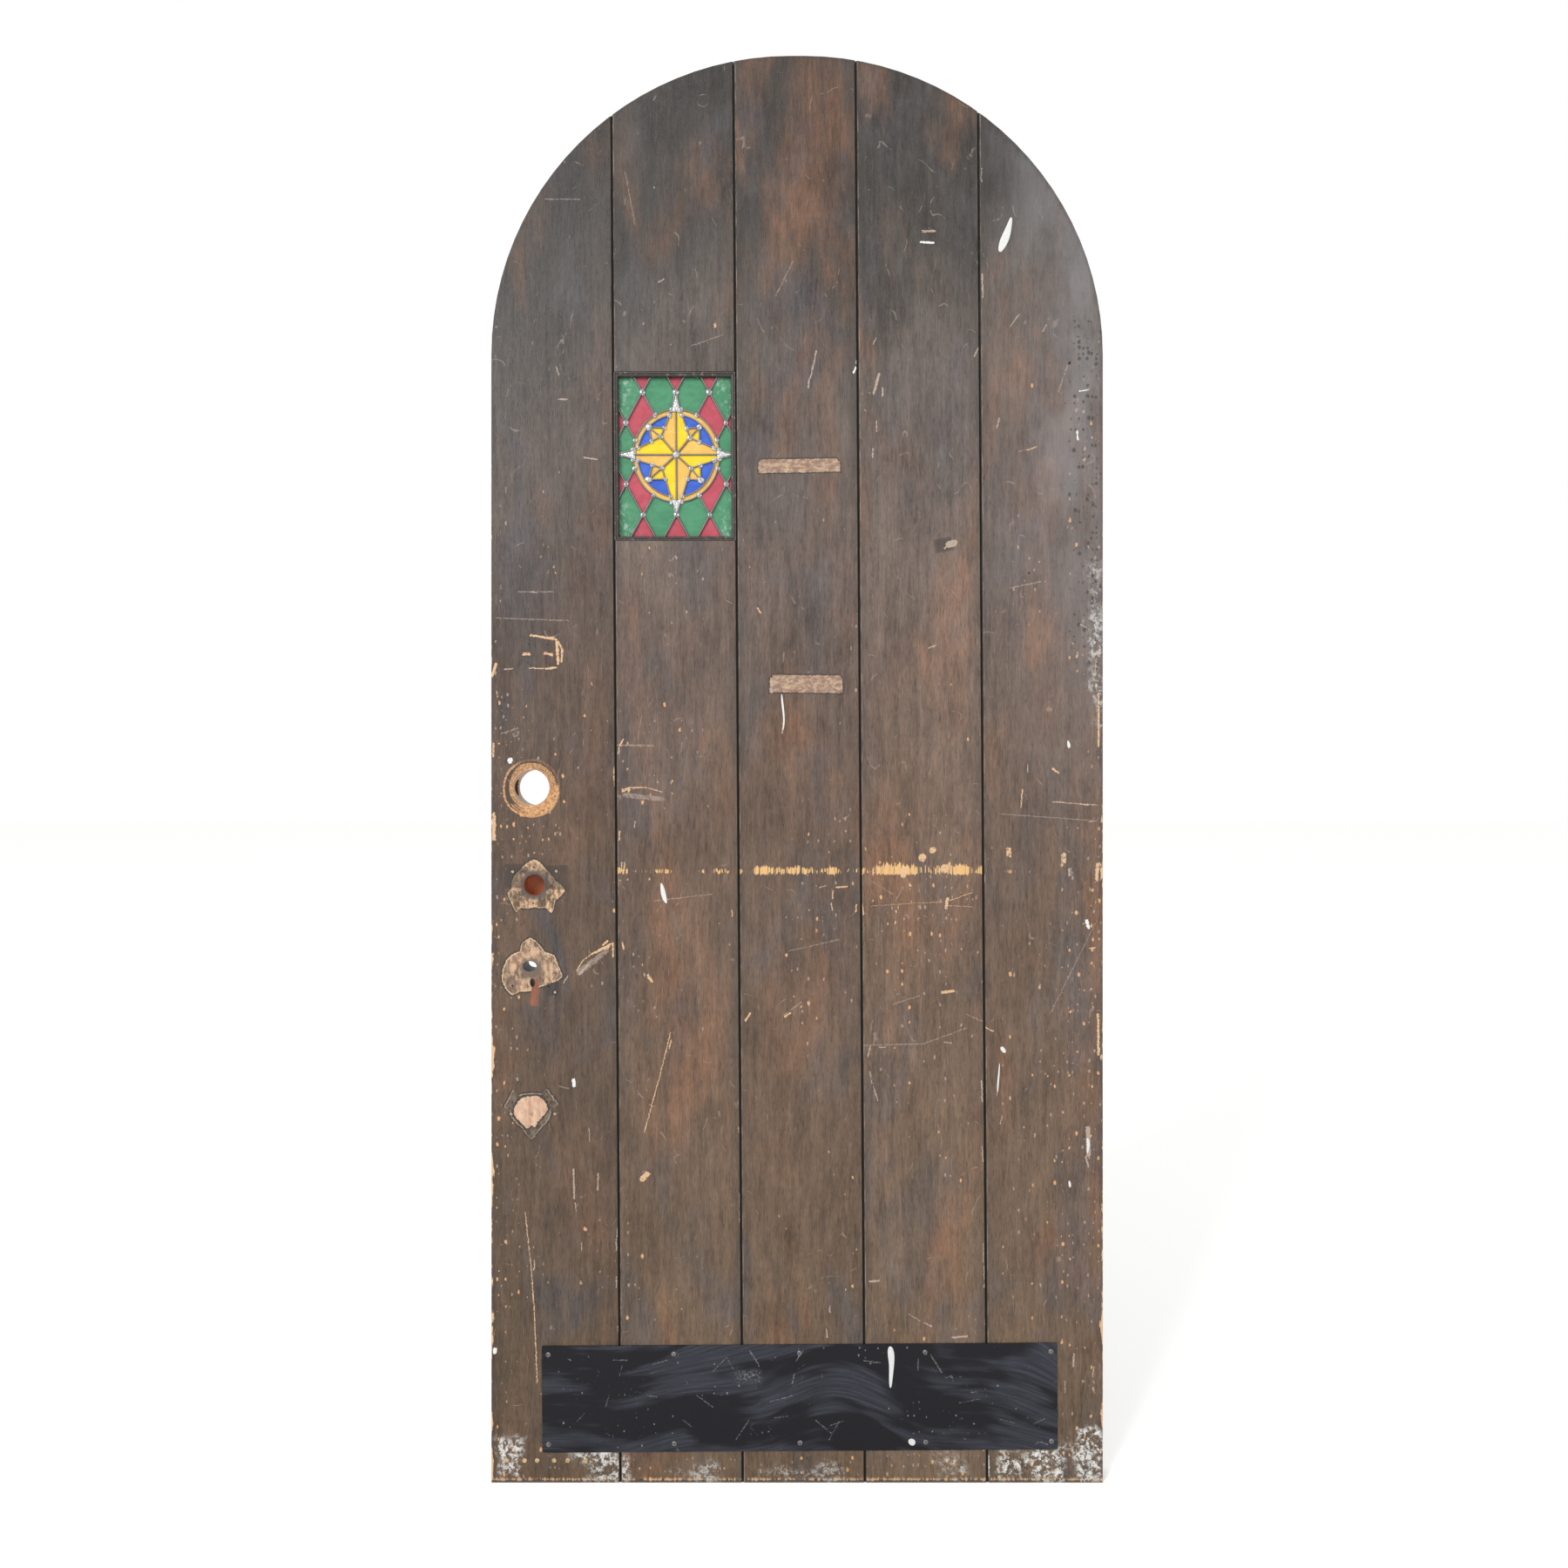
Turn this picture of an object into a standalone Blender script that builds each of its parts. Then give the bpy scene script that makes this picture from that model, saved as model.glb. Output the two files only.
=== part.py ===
# Arched plank door leaf with a small leaded window and a kick plate.
# Metres, +Z up. The front faces -Y, the hinge edge is at x = 0 and the latch edge at negative x.
# The origin is at the middle of the straight run of the hinge edge, at half thickness.

import math

import bmesh
import bpy
from mathutils import Matrix, Vector

# Leaf
LEAF_WIDTH = 0.9144
LEAF_HEIGHT = 2.1336
LEAF_THICKNESS = 0.04445
CROWN_FLAT = 0.0208  # straight length at the top of the arch
EDGE_CHAMFER = 0.0012  # all round the leaf, front and back
ARCH_SEGMENTS = 24  # on each side of the crown

# Boards
BOARD_COUNT = 5
JOINT_LEAN = math.radians(0.38)  # the joints run nearer to the hinge edge lower down
ARRIS = 0.0023  # chamfer on each side of a V joint
TONGUE_LENGTH = 0.008
TONGUE_THICKNESS = 0.010

# Gap between pieces that touch
CLEARANCE = 0.0003

# Window opening, which takes the place of the second board
WINDOW_BOARD = 2
WINDOW_HEIGHT = 0.2535
WINDOW_UP = 1.5349  # its middle above the foot
OPENING_BITE = 0.0005  # how far the opening cuts into the boards beside it
BEAD_WIDTH = 0.0078
BEAD_CHAMFER = 0.0020
PANEL_DEPTH = 0.0080  # face of the lead below the leaf's front face

# Leaded panel
GLASS_THICKNESS = 0.0030
LEAD_LEAF = 0.0008  # thickness of the lead in front of and behind the glass
LEAD_WIDTH = 0.0047
LEAD_HEART = 0.0012  # thickness of the lead between two panes

# Pattern, measured from the middle of the lattice
PATTERN_OFFSET = Vector((0.0014, 0.0060))  # middle of the lattice from the middle of the opening
DIAMOND_HALF_WIDTH = 0.0251
DIAMOND_HALF_HEIGHT = 0.0460
RING_CENTRE = Vector((0.0, -0.0034))
OUTER_RING = Vector((0.0650, 0.0695))
INNER_RING = Vector((0.0580, 0.0615))
HUB = Vector((0.0, -0.0016))
POINT_HALF_WIDTH = 0.0065  # half width of a long star point where it meets the outer ring
SIDE_START = 0.33  # where a short point leaves the side of a long one, as a share of that side
ARC_STEP = math.radians(15)
SMALLEST_PANE = 0.00002  # square metres; what is smaller is all lead

# Where the sides of the long points meet, and the tips of the short points, from the hub.
# The glass was cut by hand, so the four quarters differ a little.
QUARTERS = {
    "upper_right": (Vector((0.0206, 0.0252)), Vector((0.0350, 0.0410))),
    "upper_left": (Vector((-0.0229, 0.0268)), Vector((-0.0410, 0.0412))),
    "lower_left": (Vector((-0.0214, -0.0200)), Vector((-0.0420, -0.0375))),
    "lower_right": (Vector((0.0222, -0.0204)), Vector((0.0368, -0.0385))),
}

# Kick plate
KICK_WIDTH = 0.770
KICK_HEIGHT = 0.159
KICK_THICKNESS = 0.0015
KICK_ACROSS = 0.4612  # its middle from the latch edge
KICK_UP = 0.1277  # its middle above the foot
KICK_TILT = math.radians(0.37)  # the hinge side hangs higher
SCREW_COLUMNS = 5
SCREW_ROWS = 2
SCREW_INSET = Vector((0.0095, 0.0125))  # from the plate's edges
SCREW_HEAD_RADIUS = 0.0038
SCREW_HEAD_HEIGHT = 0.0014
SCREW_SHANK_RADIUS = 0.0018
SCREW_LENGTH = 0.018
SCREW_POINT = 0.003
SCREW_SEGMENTS = 12
HOLE_SEGMENTS = 10

# Lock holes in the first board, each from the latch edge and above the foot
DEADBOLT_BORE = Vector((0.0600, 1.0395))
DEADBOLT_BORE_RADIUS = 0.0270
CROSS_BORE_RADIUS = 0.0127
KNOB_HOLE = Vector((0.0642, 0.8937))
KNOB_HOLE_RADIUS = 0.0160
KNOB_HOLE_DEPTH = 0.0250
SPINDLE_HOLE = Vector((0.0573, 0.7720))
SPINDLE_HOLE_SIZE = Vector((0.0208, 0.0156))
KEYHOLE = Vector((0.0616, 0.7475))
KEYHOLE_SIZE = Vector((0.0078, 0.0130))
BORE_SEGMENTS = 32

MERGE_DISTANCE = 0.00001
OVERRUN = 0.02  # how far cutters and blanks run past what they cut

# Worked out from the sizes above
ARCH_RADIUS = (LEAF_WIDTH - CROWN_FLAT) / 2
HINGE_RUN = LEAF_HEIGHT - ARCH_RADIUS
BOARD_WIDTH = LEAF_WIDTH / BOARD_COUNT
FRONT = -LEAF_THICKNESS / 2
BACK = LEAF_THICKNESS / 2
PANEL_THICKNESS = GLASS_THICKNESS + 2 * CLEARANCE + 2 * LEAD_LEAF
PANEL_BACK = PANEL_DEPTH + PANEL_THICKNESS
GLASS_DEPTH = PANEL_DEPTH + LEAD_LEAF + CLEARANCE
OPENING_HALF = Vector((BOARD_WIDTH / 2, WINDOW_HEIGHT / 2))
PANEL_HALF = OPENING_HALF - Vector((CLEARANCE, CLEARANCE))
BORDER_HALF = PANEL_HALF - Vector((LEAD_WIDTH / 2, LEAD_WIDTH / 2))

MATERIALS = {
    "wood": ((0.145, 0.110, 0.085), 0.55, 0.0),
    "moulding": ((0.110, 0.085, 0.070), 0.55, 0.0),
    "lead": ((0.250, 0.240, 0.245), 0.50, 0.8),
    "green_glass": ((0.070, 0.370, 0.165), 0.20, 0.0),
    "red_glass": ((0.580, 0.110, 0.115), 0.20, 0.0),
    "yellow_glass": ((1.000, 0.730, 0.015), 0.20, 0.0),
    "orange_glass": ((1.000, 0.570, 0.110), 0.20, 0.0),
    "blue_glass": ((0.060, 0.155, 0.680), 0.20, 0.0),
    "black_plate": ((0.020, 0.021, 0.027), 0.35, 0.0),
    "screw": ((0.130, 0.125, 0.120), 0.45, 0.9),
}


def material(name):
    made = bpy.data.materials.get(name)
    if made is None:
        colour, roughness, metallic = MATERIALS[name]
        made = bpy.data.materials.new(name)
        made.use_nodes = True
        shader = made.node_tree.nodes["Principled BSDF"]
        shader.inputs["Base Color"].default_value = (*colour, 1.0)
        shader.inputs["Roughness"].default_value = roughness
        shader.inputs["Metallic"].default_value = metallic
        made.diffuse_color = (*colour, 1.0)
    return made


def across(distance):
    """World x of what is this far from the latch edge."""
    return distance - LEAF_WIDTH


def up(height):
    """World z of what is this far above the foot."""
    return height - HINGE_RUN / 2


def leaning(point):
    """A point of the window, moved sideways by the lean of the joints."""
    return Vector((point[0] - math.tan(JOINT_LEAN) * point[1], point[1]))


def sides(points):
    """Each point of a closed outline with the one after it."""
    return list(zip(points, points[1:] + points[:1]))


def area(points):
    return abs(sum(a.x * b.y - b.x * a.y for a, b in sides(points))) / 2


def clipped(points, start, end, inset=0.0):
    """The part of an outline to the left of the line from start to end, moved left by inset."""
    run = (end - start).normalized()
    left = Vector((-run.y, run.x))
    kept = []
    for here, there in sides(points):
        before = (here - start).dot(left) - inset
        after = (there - start).dot(left) - inset
        if before >= 0:
            kept.append(here)
        if before * after < 0:
            kept.append(here.lerp(there, before / (before - after)))
    return kept


def inset_outline(points, inset):
    """A convex outline with every side moved inwards."""
    result = points
    for start, end in sides(points):
        result = clipped(result, start, end, inset)
    return result


def ring_point(ring, angle):
    return RING_CENTRE + Vector((ring.x * math.cos(angle), ring.y * math.sin(angle)))


def ring_depth(point, ring):
    """Negative inside the ring and positive outside it."""
    offset = point - RING_CENTRE
    return (offset.x / ring.x) ** 2 + (offset.y / ring.y) ** 2 - 1


def ring_angle(point, ring):
    offset = point - RING_CENTRE
    return math.atan2(offset.y / ring.y, offset.x / ring.x)


def within_ring(points, ring):
    """The part of a convex outline inside a ring."""
    steps = round(2 * math.pi / ARC_STEP)
    circle = [ring_point(ring, ARC_STEP * step) for step in range(steps)]
    for start, end in sides(circle):
        points = clipped(points, start, end)
    return points


def beyond_ring(points, ring):
    """A convex outline with the ring that two of its sides cross bitten out of it."""
    kept = []
    entry = leave = None
    for here, there in sides(points):
        if ring_depth(here, ring) >= 0:
            kept.append(here)
        if ring_depth(here, ring) * ring_depth(there, ring) >= 0:
            continue
        outer, inner = (here, there) if ring_depth(here, ring) > 0 else (there, here)
        for _ in range(40):
            middle = (outer + inner) / 2
            if ring_depth(middle, ring) > 0:
                outer = middle
            else:
                inner = middle
        if ring_depth(here, ring) > 0:
            entry = len(kept)
        else:
            leave = len(kept)
        kept.append(outer)
    if entry is None or leave is None:
        return kept
    first = ring_angle(kept[entry], ring)
    turn = math.remainder(ring_angle(kept[leave], ring) - first, 2 * math.pi)
    steps = math.ceil(abs(turn) / ARC_STEP)
    arc = [ring_point(ring, first + turn * step / steps) for step in range(1, steps)]
    return kept[: entry + 1] + arc + kept[entry + 1 :]


class Pane:
    """One pane of the panel, bounded by the middles of the leads around it."""

    def __init__(self, corners, inside=None, outside=None):
        turned = sum(a.x * b.y - b.x * a.y for a, b in sides(corners)) < 0
        self.corners = corners[::-1] if turned else corners
        self.inside = inside
        self.outside = outside

    def outline(self, inset):
        points = inset_outline(self.corners, inset)
        spread = Vector((inset, inset))
        if self.inside:
            points = within_ring(points, self.inside - spread)
        if self.outside:
            points = beyond_ring(points, self.outside + spread)
        return points

    def opening(self):
        """What shows of the pane between the leads."""
        return self.outline(LEAD_WIDTH / 2)

    def pocket(self):
        """The slot in the leads that takes the glass."""
        return self.outline(LEAD_HEART / 2)

    def glass(self):
        return self.outline(LEAD_HEART / 2 + CLEARANCE)


def long_point(axis):
    """The two places on the outer ring where the sides of a long star point cross it."""
    side = Vector((-axis.y, axis.x)) * POINT_HALF_WIDTH
    found = []
    for shift in (side, -side):
        inner, outer = HUB + shift, HUB + shift + axis * (OUTER_RING.x + OUTER_RING.y)
        for _ in range(40):
            middle = (inner + outer) / 2
            if ring_depth(middle, OUTER_RING) < 0:
                inner = middle
            else:
                outer = middle
        found.append(inner)
    return found


def star_shoulders():
    """For each quarter, where the sides of the upright and the level long point cross the ring."""
    up_left, up_right = long_point(Vector((0, 1)))
    right_up, right_down = long_point(Vector((1, 0)))
    down_right, down_left = long_point(Vector((0, -1)))
    left_down, left_up = long_point(Vector((-1, 0)))
    return {
        "upper_right": (up_right, right_up),
        "upper_left": (up_left, left_up),
        "lower_left": (down_left, left_down),
        "lower_right": (down_right, right_down),
    }


def star_panes():
    """The two halves of each long point, named for the point and the quarter they lie in."""
    panes = {}
    for quarter, (upright, level) in star_shoulders().items():
        corner = HUB + QUARTERS[quarter][0]
        vertical, horizontal = quarter.split("_")
        upright_end = Vector((HUB.x, upright.y))
        level_end = Vector((level.x, HUB.y))
        panes[f"star_{vertical}_point_{horizontal}"] = Pane([HUB, corner, upright, upright_end])
        panes[f"star_{horizontal}_point_{vertical}"] = Pane([HUB, corner, level, level_end])
    return panes


def rose_quarters():
    """The glass of each quarter between the star and the outer ring, and the panes it shows as."""
    whole, shown = {}, []
    for quarter, (upright, level) in star_shoulders().items():
        corner = HUB + QUARTERS[quarter][0]
        tip = HUB + QUARTERS[quarter][1]
        beyond = (corner - HUB).normalized() * (OUTER_RING.x + OUTER_RING.y) + HUB
        field = [corner, upright, beyond, level]
        whole[f"rose_{quarter}"] = Pane(field, inside=OUTER_RING)
        shown.append(Pane(field, inside=OUTER_RING, outside=INNER_RING))
        for shoulder in (upright, level):
            start = corner.lerp(shoulder, SIDE_START)
            shown.append(Pane([corner, start, tip]))
            outward = (shoulder + tip - HUB - HUB) * 0.8 + HUB
            shown.append(Pane([start, shoulder, outward, tip], inside=INNER_RING))
    return whole, shown


def tip_lines():
    """The outer sides of the long points, from the tip to inside the ring, in each quarter."""
    high = Vector((0, 2 * DIAMOND_HALF_HEIGHT))
    middle_right = Vector((BORDER_HALF.x - PATTERN_OFFSET.x, HUB.y))
    middle_left = Vector((-BORDER_HALF.x - PATTERN_OFFSET.x, HUB.y))
    lines = {}
    for quarter, (upright, level) in star_shoulders().items():
        vertical, horizontal = quarter.split("_")
        tip = high if vertical == "upper" else -high
        side_tip = middle_right if horizontal == "right" else middle_left
        lines[quarter] = ((tip, tip.lerp(upright, 1.3)), (side_tip, side_tip.lerp(level, 1.3)))
    return lines


def lattice_cell(column, row):
    """The corners of one diamond of the lattice."""
    middle = Vector((column * DIAMOND_HALF_WIDTH, row * DIAMOND_HALF_HEIGHT))
    width = Vector((DIAMOND_HALF_WIDTH, 0))
    height = Vector((0, DIAMOND_HALF_HEIGHT))
    return [middle + width, middle + height, middle - width, middle - height]


def within_border(points):
    low = -BORDER_HALF - PATTERN_OFFSET
    high = BORDER_HALF - PATTERN_OFFSET
    frame = [low, Vector((high.x, low.y)), high, Vector((low.x, high.y))]
    for start, end in sides(frame):
        points = clipped(points, start, end)
    return points


def side_of_point(corners, line, upper):
    """A diamond beside a level point of the star, kept above or below its side."""
    tip, inner = line
    heading_left = inner.x < tip.x
    start, end = (inner, tip) if heading_left == upper else (tip, inner)
    return clipped(corners, start, end)


def lattice_panes():
    """The green and red panes around the ring, row by row from the top."""
    columns = math.ceil((BORDER_HALF.x + abs(PATTERN_OFFSET.x)) / DIAMOND_HALF_WIDTH)
    rows = math.ceil((BORDER_HALF.y + abs(PATTERN_OFFSET.y)) / DIAMOND_HALF_HEIGHT)
    lines = tip_lines()
    green, red, edge = [], [], []
    for row in range(rows, -rows - 1, -1):
        for column in range(-columns, columns + 1):
            if (column + row) % 2 == 0:
                continue
            corners = lattice_cell(column, row)
            behind_point = column == 0 and abs(row) == 1
            if behind_point or all(ring_depth(corner, OUTER_RING) < 0 for corner in corners):
                continue
            vertical = "upper" if row > 0 else "lower"
            horizontal = "right" if column > 0 else "left"
            if abs(row) == 2 and abs(column) == 1:
                tip, inner = lines[f"{vertical}_{horizontal}"][0]
                corners.insert(corners.index(min(corners, key=lambda c: (c - tip).length)), inner)
                corners = ordered(corners)
            if row == 0:
                pieces = [
                    side_of_point(corners, lines[f"upper_{horizontal}"][1], True),
                    side_of_point(corners, lines[f"lower_{horizontal}"][1], False),
                ]
            else:
                pieces = [corners]
            for piece in pieces:
                piece = within_border(piece)
                if len(piece) < 3:
                    continue
                pane = Pane(piece, outside=OUTER_RING)
                if len(pane.opening()) < 3 or area(pane.opening()) < SMALLEST_PANE:
                    continue
                if column % 2:
                    green.append(pane)
                elif abs(column) * DIAMOND_HALF_WIDTH < BORDER_HALF.x:
                    red.append(pane)
                else:
                    edge.append(pane)
    return green, red, edge


def ordered(points):
    """The corners of a convex outline, in order round their middle."""
    middle = sum(points, Vector((0, 0))) / len(points)
    return sorted(points, key=lambda p: math.atan2(p.y - middle.y, p.x - middle.x))


def in_window(points):
    """An outline of the pattern in the window's own coordinates."""
    return [leaning(point + PATTERN_OFFSET) for point in points]


def rectangle(half_width, half_height):
    signs = ((-1, -1), (1, -1), (1, 1), (-1, 1))
    return [Vector((x * half_width, y * half_height)) for x, y in signs]


def circle(centre, radius, segments):
    turns = [2 * math.pi * step / segments for step in range(segments)]
    return [centre + Vector((math.cos(turn), math.sin(turn))) * radius for turn in turns]


def place(name, mesh, collection, parent=None):
    made = bpy.data.objects.new(name, mesh)
    collection.objects.link(made)
    made.parent = parent
    return made


def slab(name, outlines, low, high, collection, parent=None):
    """Flat outlines filled in the XY plane, from z = low to z = high; inner outlines are holes."""
    curve = bpy.data.curves.new(name, "CURVE")
    curve.dimensions = "2D"
    curve.fill_mode = "BOTH"
    curve.extrude = (high - low) / 2
    for outline in outlines:
        spline = curve.splines.new("POLY")
        spline.points.add(len(outline) - 1)
        for point, corner in zip(spline.points, outline):
            point.co = (corner.x, corner.y, 0, 1)
        spline.use_cyclic_u = True
    flat = bpy.data.objects.new(name, curve)
    collection.objects.link(flat)
    bpy.context.view_layer.update()
    depsgraph = bpy.context.evaluated_depsgraph_get()
    mesh = bpy.data.meshes.new_from_object(flat.evaluated_get(depsgraph))
    bpy.data.objects.remove(flat)
    bpy.data.curves.remove(curve)
    mesh.transform(Matrix.Translation((0, 0, (low + high) / 2)))
    weld(mesh)
    mesh.name = name
    return place(name, mesh, collection, parent)


def weld(mesh):
    work = bmesh.new()
    work.from_mesh(mesh)
    bmesh.ops.remove_doubles(work, verts=work.verts, dist=MERGE_DISTANCE)
    bmesh.ops.recalc_face_normals(work, faces=work.faces)
    work.to_mesh(mesh)
    work.free()


def standing(obj):
    """Turn a slab upright, so that its z becomes the depth towards the front."""
    obj.rotation_euler = (math.radians(90), 0, 0)
    return obj


def window_slab(name, outlines, depth, end_depth, collection, parent):
    """A slab in the window, between two depths below the leaf's front face."""
    return standing(slab(name, outlines, -FRONT - end_depth, -FRONT - depth, collection, parent))


def cut(obj, cutter, operation="DIFFERENCE"):
    modifier = obj.modifiers.new(cutter.name, "BOOLEAN")
    modifier.operation = operation
    modifier.solver = "EXACT"
    modifier.object = cutter


def as_cutter(obj):
    obj.display_type = "WIRE"
    obj.hide_render = True
    return obj


def paint(obj, name):
    obj.data.materials.clear()
    obj.data.materials.append(material(name))
    return obj


def drill(name, centre, size, front, back, cutters):
    """An upright oval cutter of the given width and height, between two y positions."""
    bpy.ops.mesh.primitive_cylinder_add(vertices=BORE_SEGMENTS, radius=0.5, depth=1.0)
    made = bpy.context.active_object
    made.name = name
    for held in list(made.users_collection):
        held.objects.unlink(made)
    cutters.objects.link(made)
    made.data.transform(Matrix.Diagonal((size.x, size.y, back - front, 1)))
    made.rotation_euler = (math.radians(90), 0, 0)
    made.location = (across(centre.x), (front + back) / 2, up(centre.y))
    return as_cutter(made)


def leaf_outline(cutters):
    """The arched outline that the glued boards are sawn to, with its edges chamfered."""
    middle = across(LEAF_WIDTH / 2)
    spring = up(HINGE_RUN)
    points = [Vector((across(0), up(0))), Vector((across(LEAF_WIDTH), up(0)))]
    for step in range(ARCH_SEGMENTS + 1):
        turn = math.radians(90) * step / ARCH_SEGMENTS
        centre = Vector((middle + CROWN_FLAT / 2, spring))
        points.append(centre + Vector((math.cos(turn), math.sin(turn))) * ARCH_RADIUS)
    for step in range(ARCH_SEGMENTS + 1):
        turn = math.radians(90) * (1 + step / ARCH_SEGMENTS)
        centre = Vector((middle - CROWN_FLAT / 2, spring))
        points.append(centre + Vector((math.cos(turn), math.sin(turn))) * ARCH_RADIUS)
    made = standing(slab("leaf_outline", [points], FRONT, BACK, cutters))
    bevel = made.modifiers.new("edge_chamfer", "BEVEL")
    bevel.width = EDGE_CHAMFER
    bevel.segments = 1
    bevel.limit_method = "ANGLE"
    bevel.angle_limit = math.radians(60)
    return as_cutter(made)


def board_section(left, right, slotted, tongued):
    """Level section of a board: V arrises, a slot in its left edge and a tongue on its right."""
    tongue = TONGUE_THICKNESS / 2
    slot = tongue + CLEARANCE
    if tongued:
        right -= CLEARANCE / 2
        tip = right + TONGUE_LENGTH
        right_side = [
            (right - ARRIS, FRONT), (right, FRONT + ARRIS),
            (right, -tongue), (tip, -tongue), (tip, tongue), (right, tongue),
            (right, BACK - ARRIS), (right - ARRIS, BACK),
        ]
    else:
        right_side = [(right + OVERRUN, FRONT - OVERRUN), (right + OVERRUN, BACK + OVERRUN)]
    if slotted:
        left += CLEARANCE / 2
        bottom = left + TONGUE_LENGTH
        left_side = [
            (left + ARRIS, BACK), (left, BACK - ARRIS),
            (left, slot), (bottom, slot), (bottom, -slot), (left, -slot),
            (left, FRONT + ARRIS), (left + ARRIS, FRONT),
        ]
    else:
        left_side = [(left - OVERRUN, BACK + OVERRUN), (left - OVERRUN, FRONT - OVERRUN)]
    return [Vector(corner) for corner in right_side + left_side]


def board(name, number, low, high, parts):
    """One board between two joints, leaning as they do about the height of the window."""
    left = across((number - 1) * BOARD_WIDTH)
    right = across(number * BOARD_WIDTH)
    section = board_section(left, right, number > 1, number < BOARD_COUNT)
    window_z = up(WINDOW_UP)
    made = slab(name, [section], low - window_z, high - window_z, parts)
    lean = Matrix.Identity(4)
    lean[0][2] = -math.tan(JOINT_LEAN)
    made.data.transform(lean)
    made.location = (0, 0, window_z)
    return paint(made, "wood")


def make_boards(parts, cutters):
    """The five boards; the window splits its board into an upper and a lower length."""
    foot = up(0) - OVERRUN
    crown = up(LEAF_HEIGHT) + OVERRUN
    window_low = up(WINDOW_UP - WINDOW_HEIGHT / 2)
    window_high = up(WINDOW_UP + WINDOW_HEIGHT / 2)
    outline = leaf_outline(cutters)
    boards = {}
    for number in range(1, BOARD_COUNT + 1):
        if number == WINDOW_BOARD:
            lower = f"board_{number}_lower"
            upper = f"board_{number}_upper"
            boards[lower] = (number, board(lower, number, foot, window_low, parts))
            boards[upper] = (number, board(upper, number, window_high, crown, parts))
        else:
            name = f"board_{number}"
            boards[name] = (number, board(name, number, foot, crown, parts))
    for _, obj in boards.values():
        cut(obj, outline, "INTERSECT")
    return boards


def cut_window_opening(boards, cutters):
    bite = Vector((OPENING_BITE, 0))
    half = OPENING_HALF + bite
    corners = [leaning(corner) for corner in rectangle(half.x, half.y)]
    opening = window_slab("window_opening", [corners], -OVERRUN, LEAF_THICKNESS + OVERRUN, cutters, None)
    opening.location = window_place()
    as_cutter(opening)
    for number, obj in boards.values():
        if abs(number - WINDOW_BOARD) == 1:
            cut(obj, opening)


def window_place():
    return Vector((across((WINDOW_BOARD - 0.5) * BOARD_WIDTH), 0, up(WINDOW_UP)))


def cut_lock_holes(obj, cutters):
    """What the removed locks and handles left in the first board."""
    through = (FRONT - OVERRUN, BACK + OVERRUN)
    round_bore = Vector((1, 1)) * 2
    holes = [
        drill("deadbolt_bore", DEADBOLT_BORE, round_bore * DEADBOLT_BORE_RADIUS, *through, cutters),
        drill("knob_hole", KNOB_HOLE, round_bore * KNOB_HOLE_RADIUS,
              FRONT - OVERRUN, FRONT + KNOB_HOLE_DEPTH, cutters),
        drill("spindle_hole", SPINDLE_HOLE, SPINDLE_HOLE_SIZE, *through, cutters),
        drill("keyhole", KEYHOLE, KEYHOLE_SIZE, *through, cutters),
    ]
    bpy.ops.mesh.primitive_cylinder_add(
        vertices=BORE_SEGMENTS, radius=CROSS_BORE_RADIUS, depth=DEADBOLT_BORE.x + OVERRUN,
        location=(across((DEADBOLT_BORE.x - OVERRUN) / 2), 0, up(DEADBOLT_BORE.y)),
        rotation=(0, math.radians(90), 0),
    )
    cross = bpy.context.active_object
    cross.name = "cross_bore"
    for held in list(cross.users_collection):
        held.objects.unlink(cross)
    cutters.objects.link(cross)
    holes.append(as_cutter(cross))
    for hole in holes:
        cut(obj, hole)


def bead(name, corners, depth, end_depth, chamfer_front, parts, window):
    """One mitred length of bead; its third and fourth corners are on the glass side."""
    outline = inset_outline(corners, CLEARANCE / 2)
    made = window_slab(name, [outline], depth, end_depth, parts, window)
    face = -FRONT - (depth if chamfer_front else end_depth)
    inner = outline[2:4]
    work = bmesh.new()
    work.from_mesh(made.data)
    chosen = [
        edge for edge in work.edges
        if all(abs(v.co.z - face) < CLEARANCE for v in edge.verts)
        and all(min((v.co.xy - corner).length for corner in inner) < CLEARANCE for v in edge.verts)
    ]
    bmesh.ops.bevel(work, geom=chosen, offset=BEAD_CHAMFER, segments=1, affect="EDGES")
    work.to_mesh(made.data)
    work.free()
    return paint(made, "moulding")


def make_beads(parts, window):
    """Four mitred beads in front of the panel and four behind it."""
    fit = OPENING_HALF - Vector((CLEARANCE, CLEARANCE)) / 2
    outer = rectangle(fit.x, fit.y)
    inner = rectangle(OPENING_HALF.x - BEAD_WIDTH, OPENING_HALF.y - BEAD_WIDTH)
    for index, side in enumerate(("bottom", "right", "top", "left")):
        following = (index + 1) % 4
        corners = [outer[index], outer[following], inner[following], inner[index]]
        corners = [leaning(corner) for corner in corners]
        bead(f"front_bead_{side}", corners, 0, PANEL_DEPTH - CLEARANCE, True, parts, window)
        bead(f"back_bead_{side}", corners, PANEL_BACK + CLEARANCE, LEAF_THICKNESS, False, parts, window)


def pane_glass(name, pane, colour, parts, window):
    outline = in_window(pane.glass())
    made = window_slab(name, [outline], GLASS_DEPTH, GLASS_DEPTH + GLASS_THICKNESS, parts, window)
    return paint(made, colour)


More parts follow.
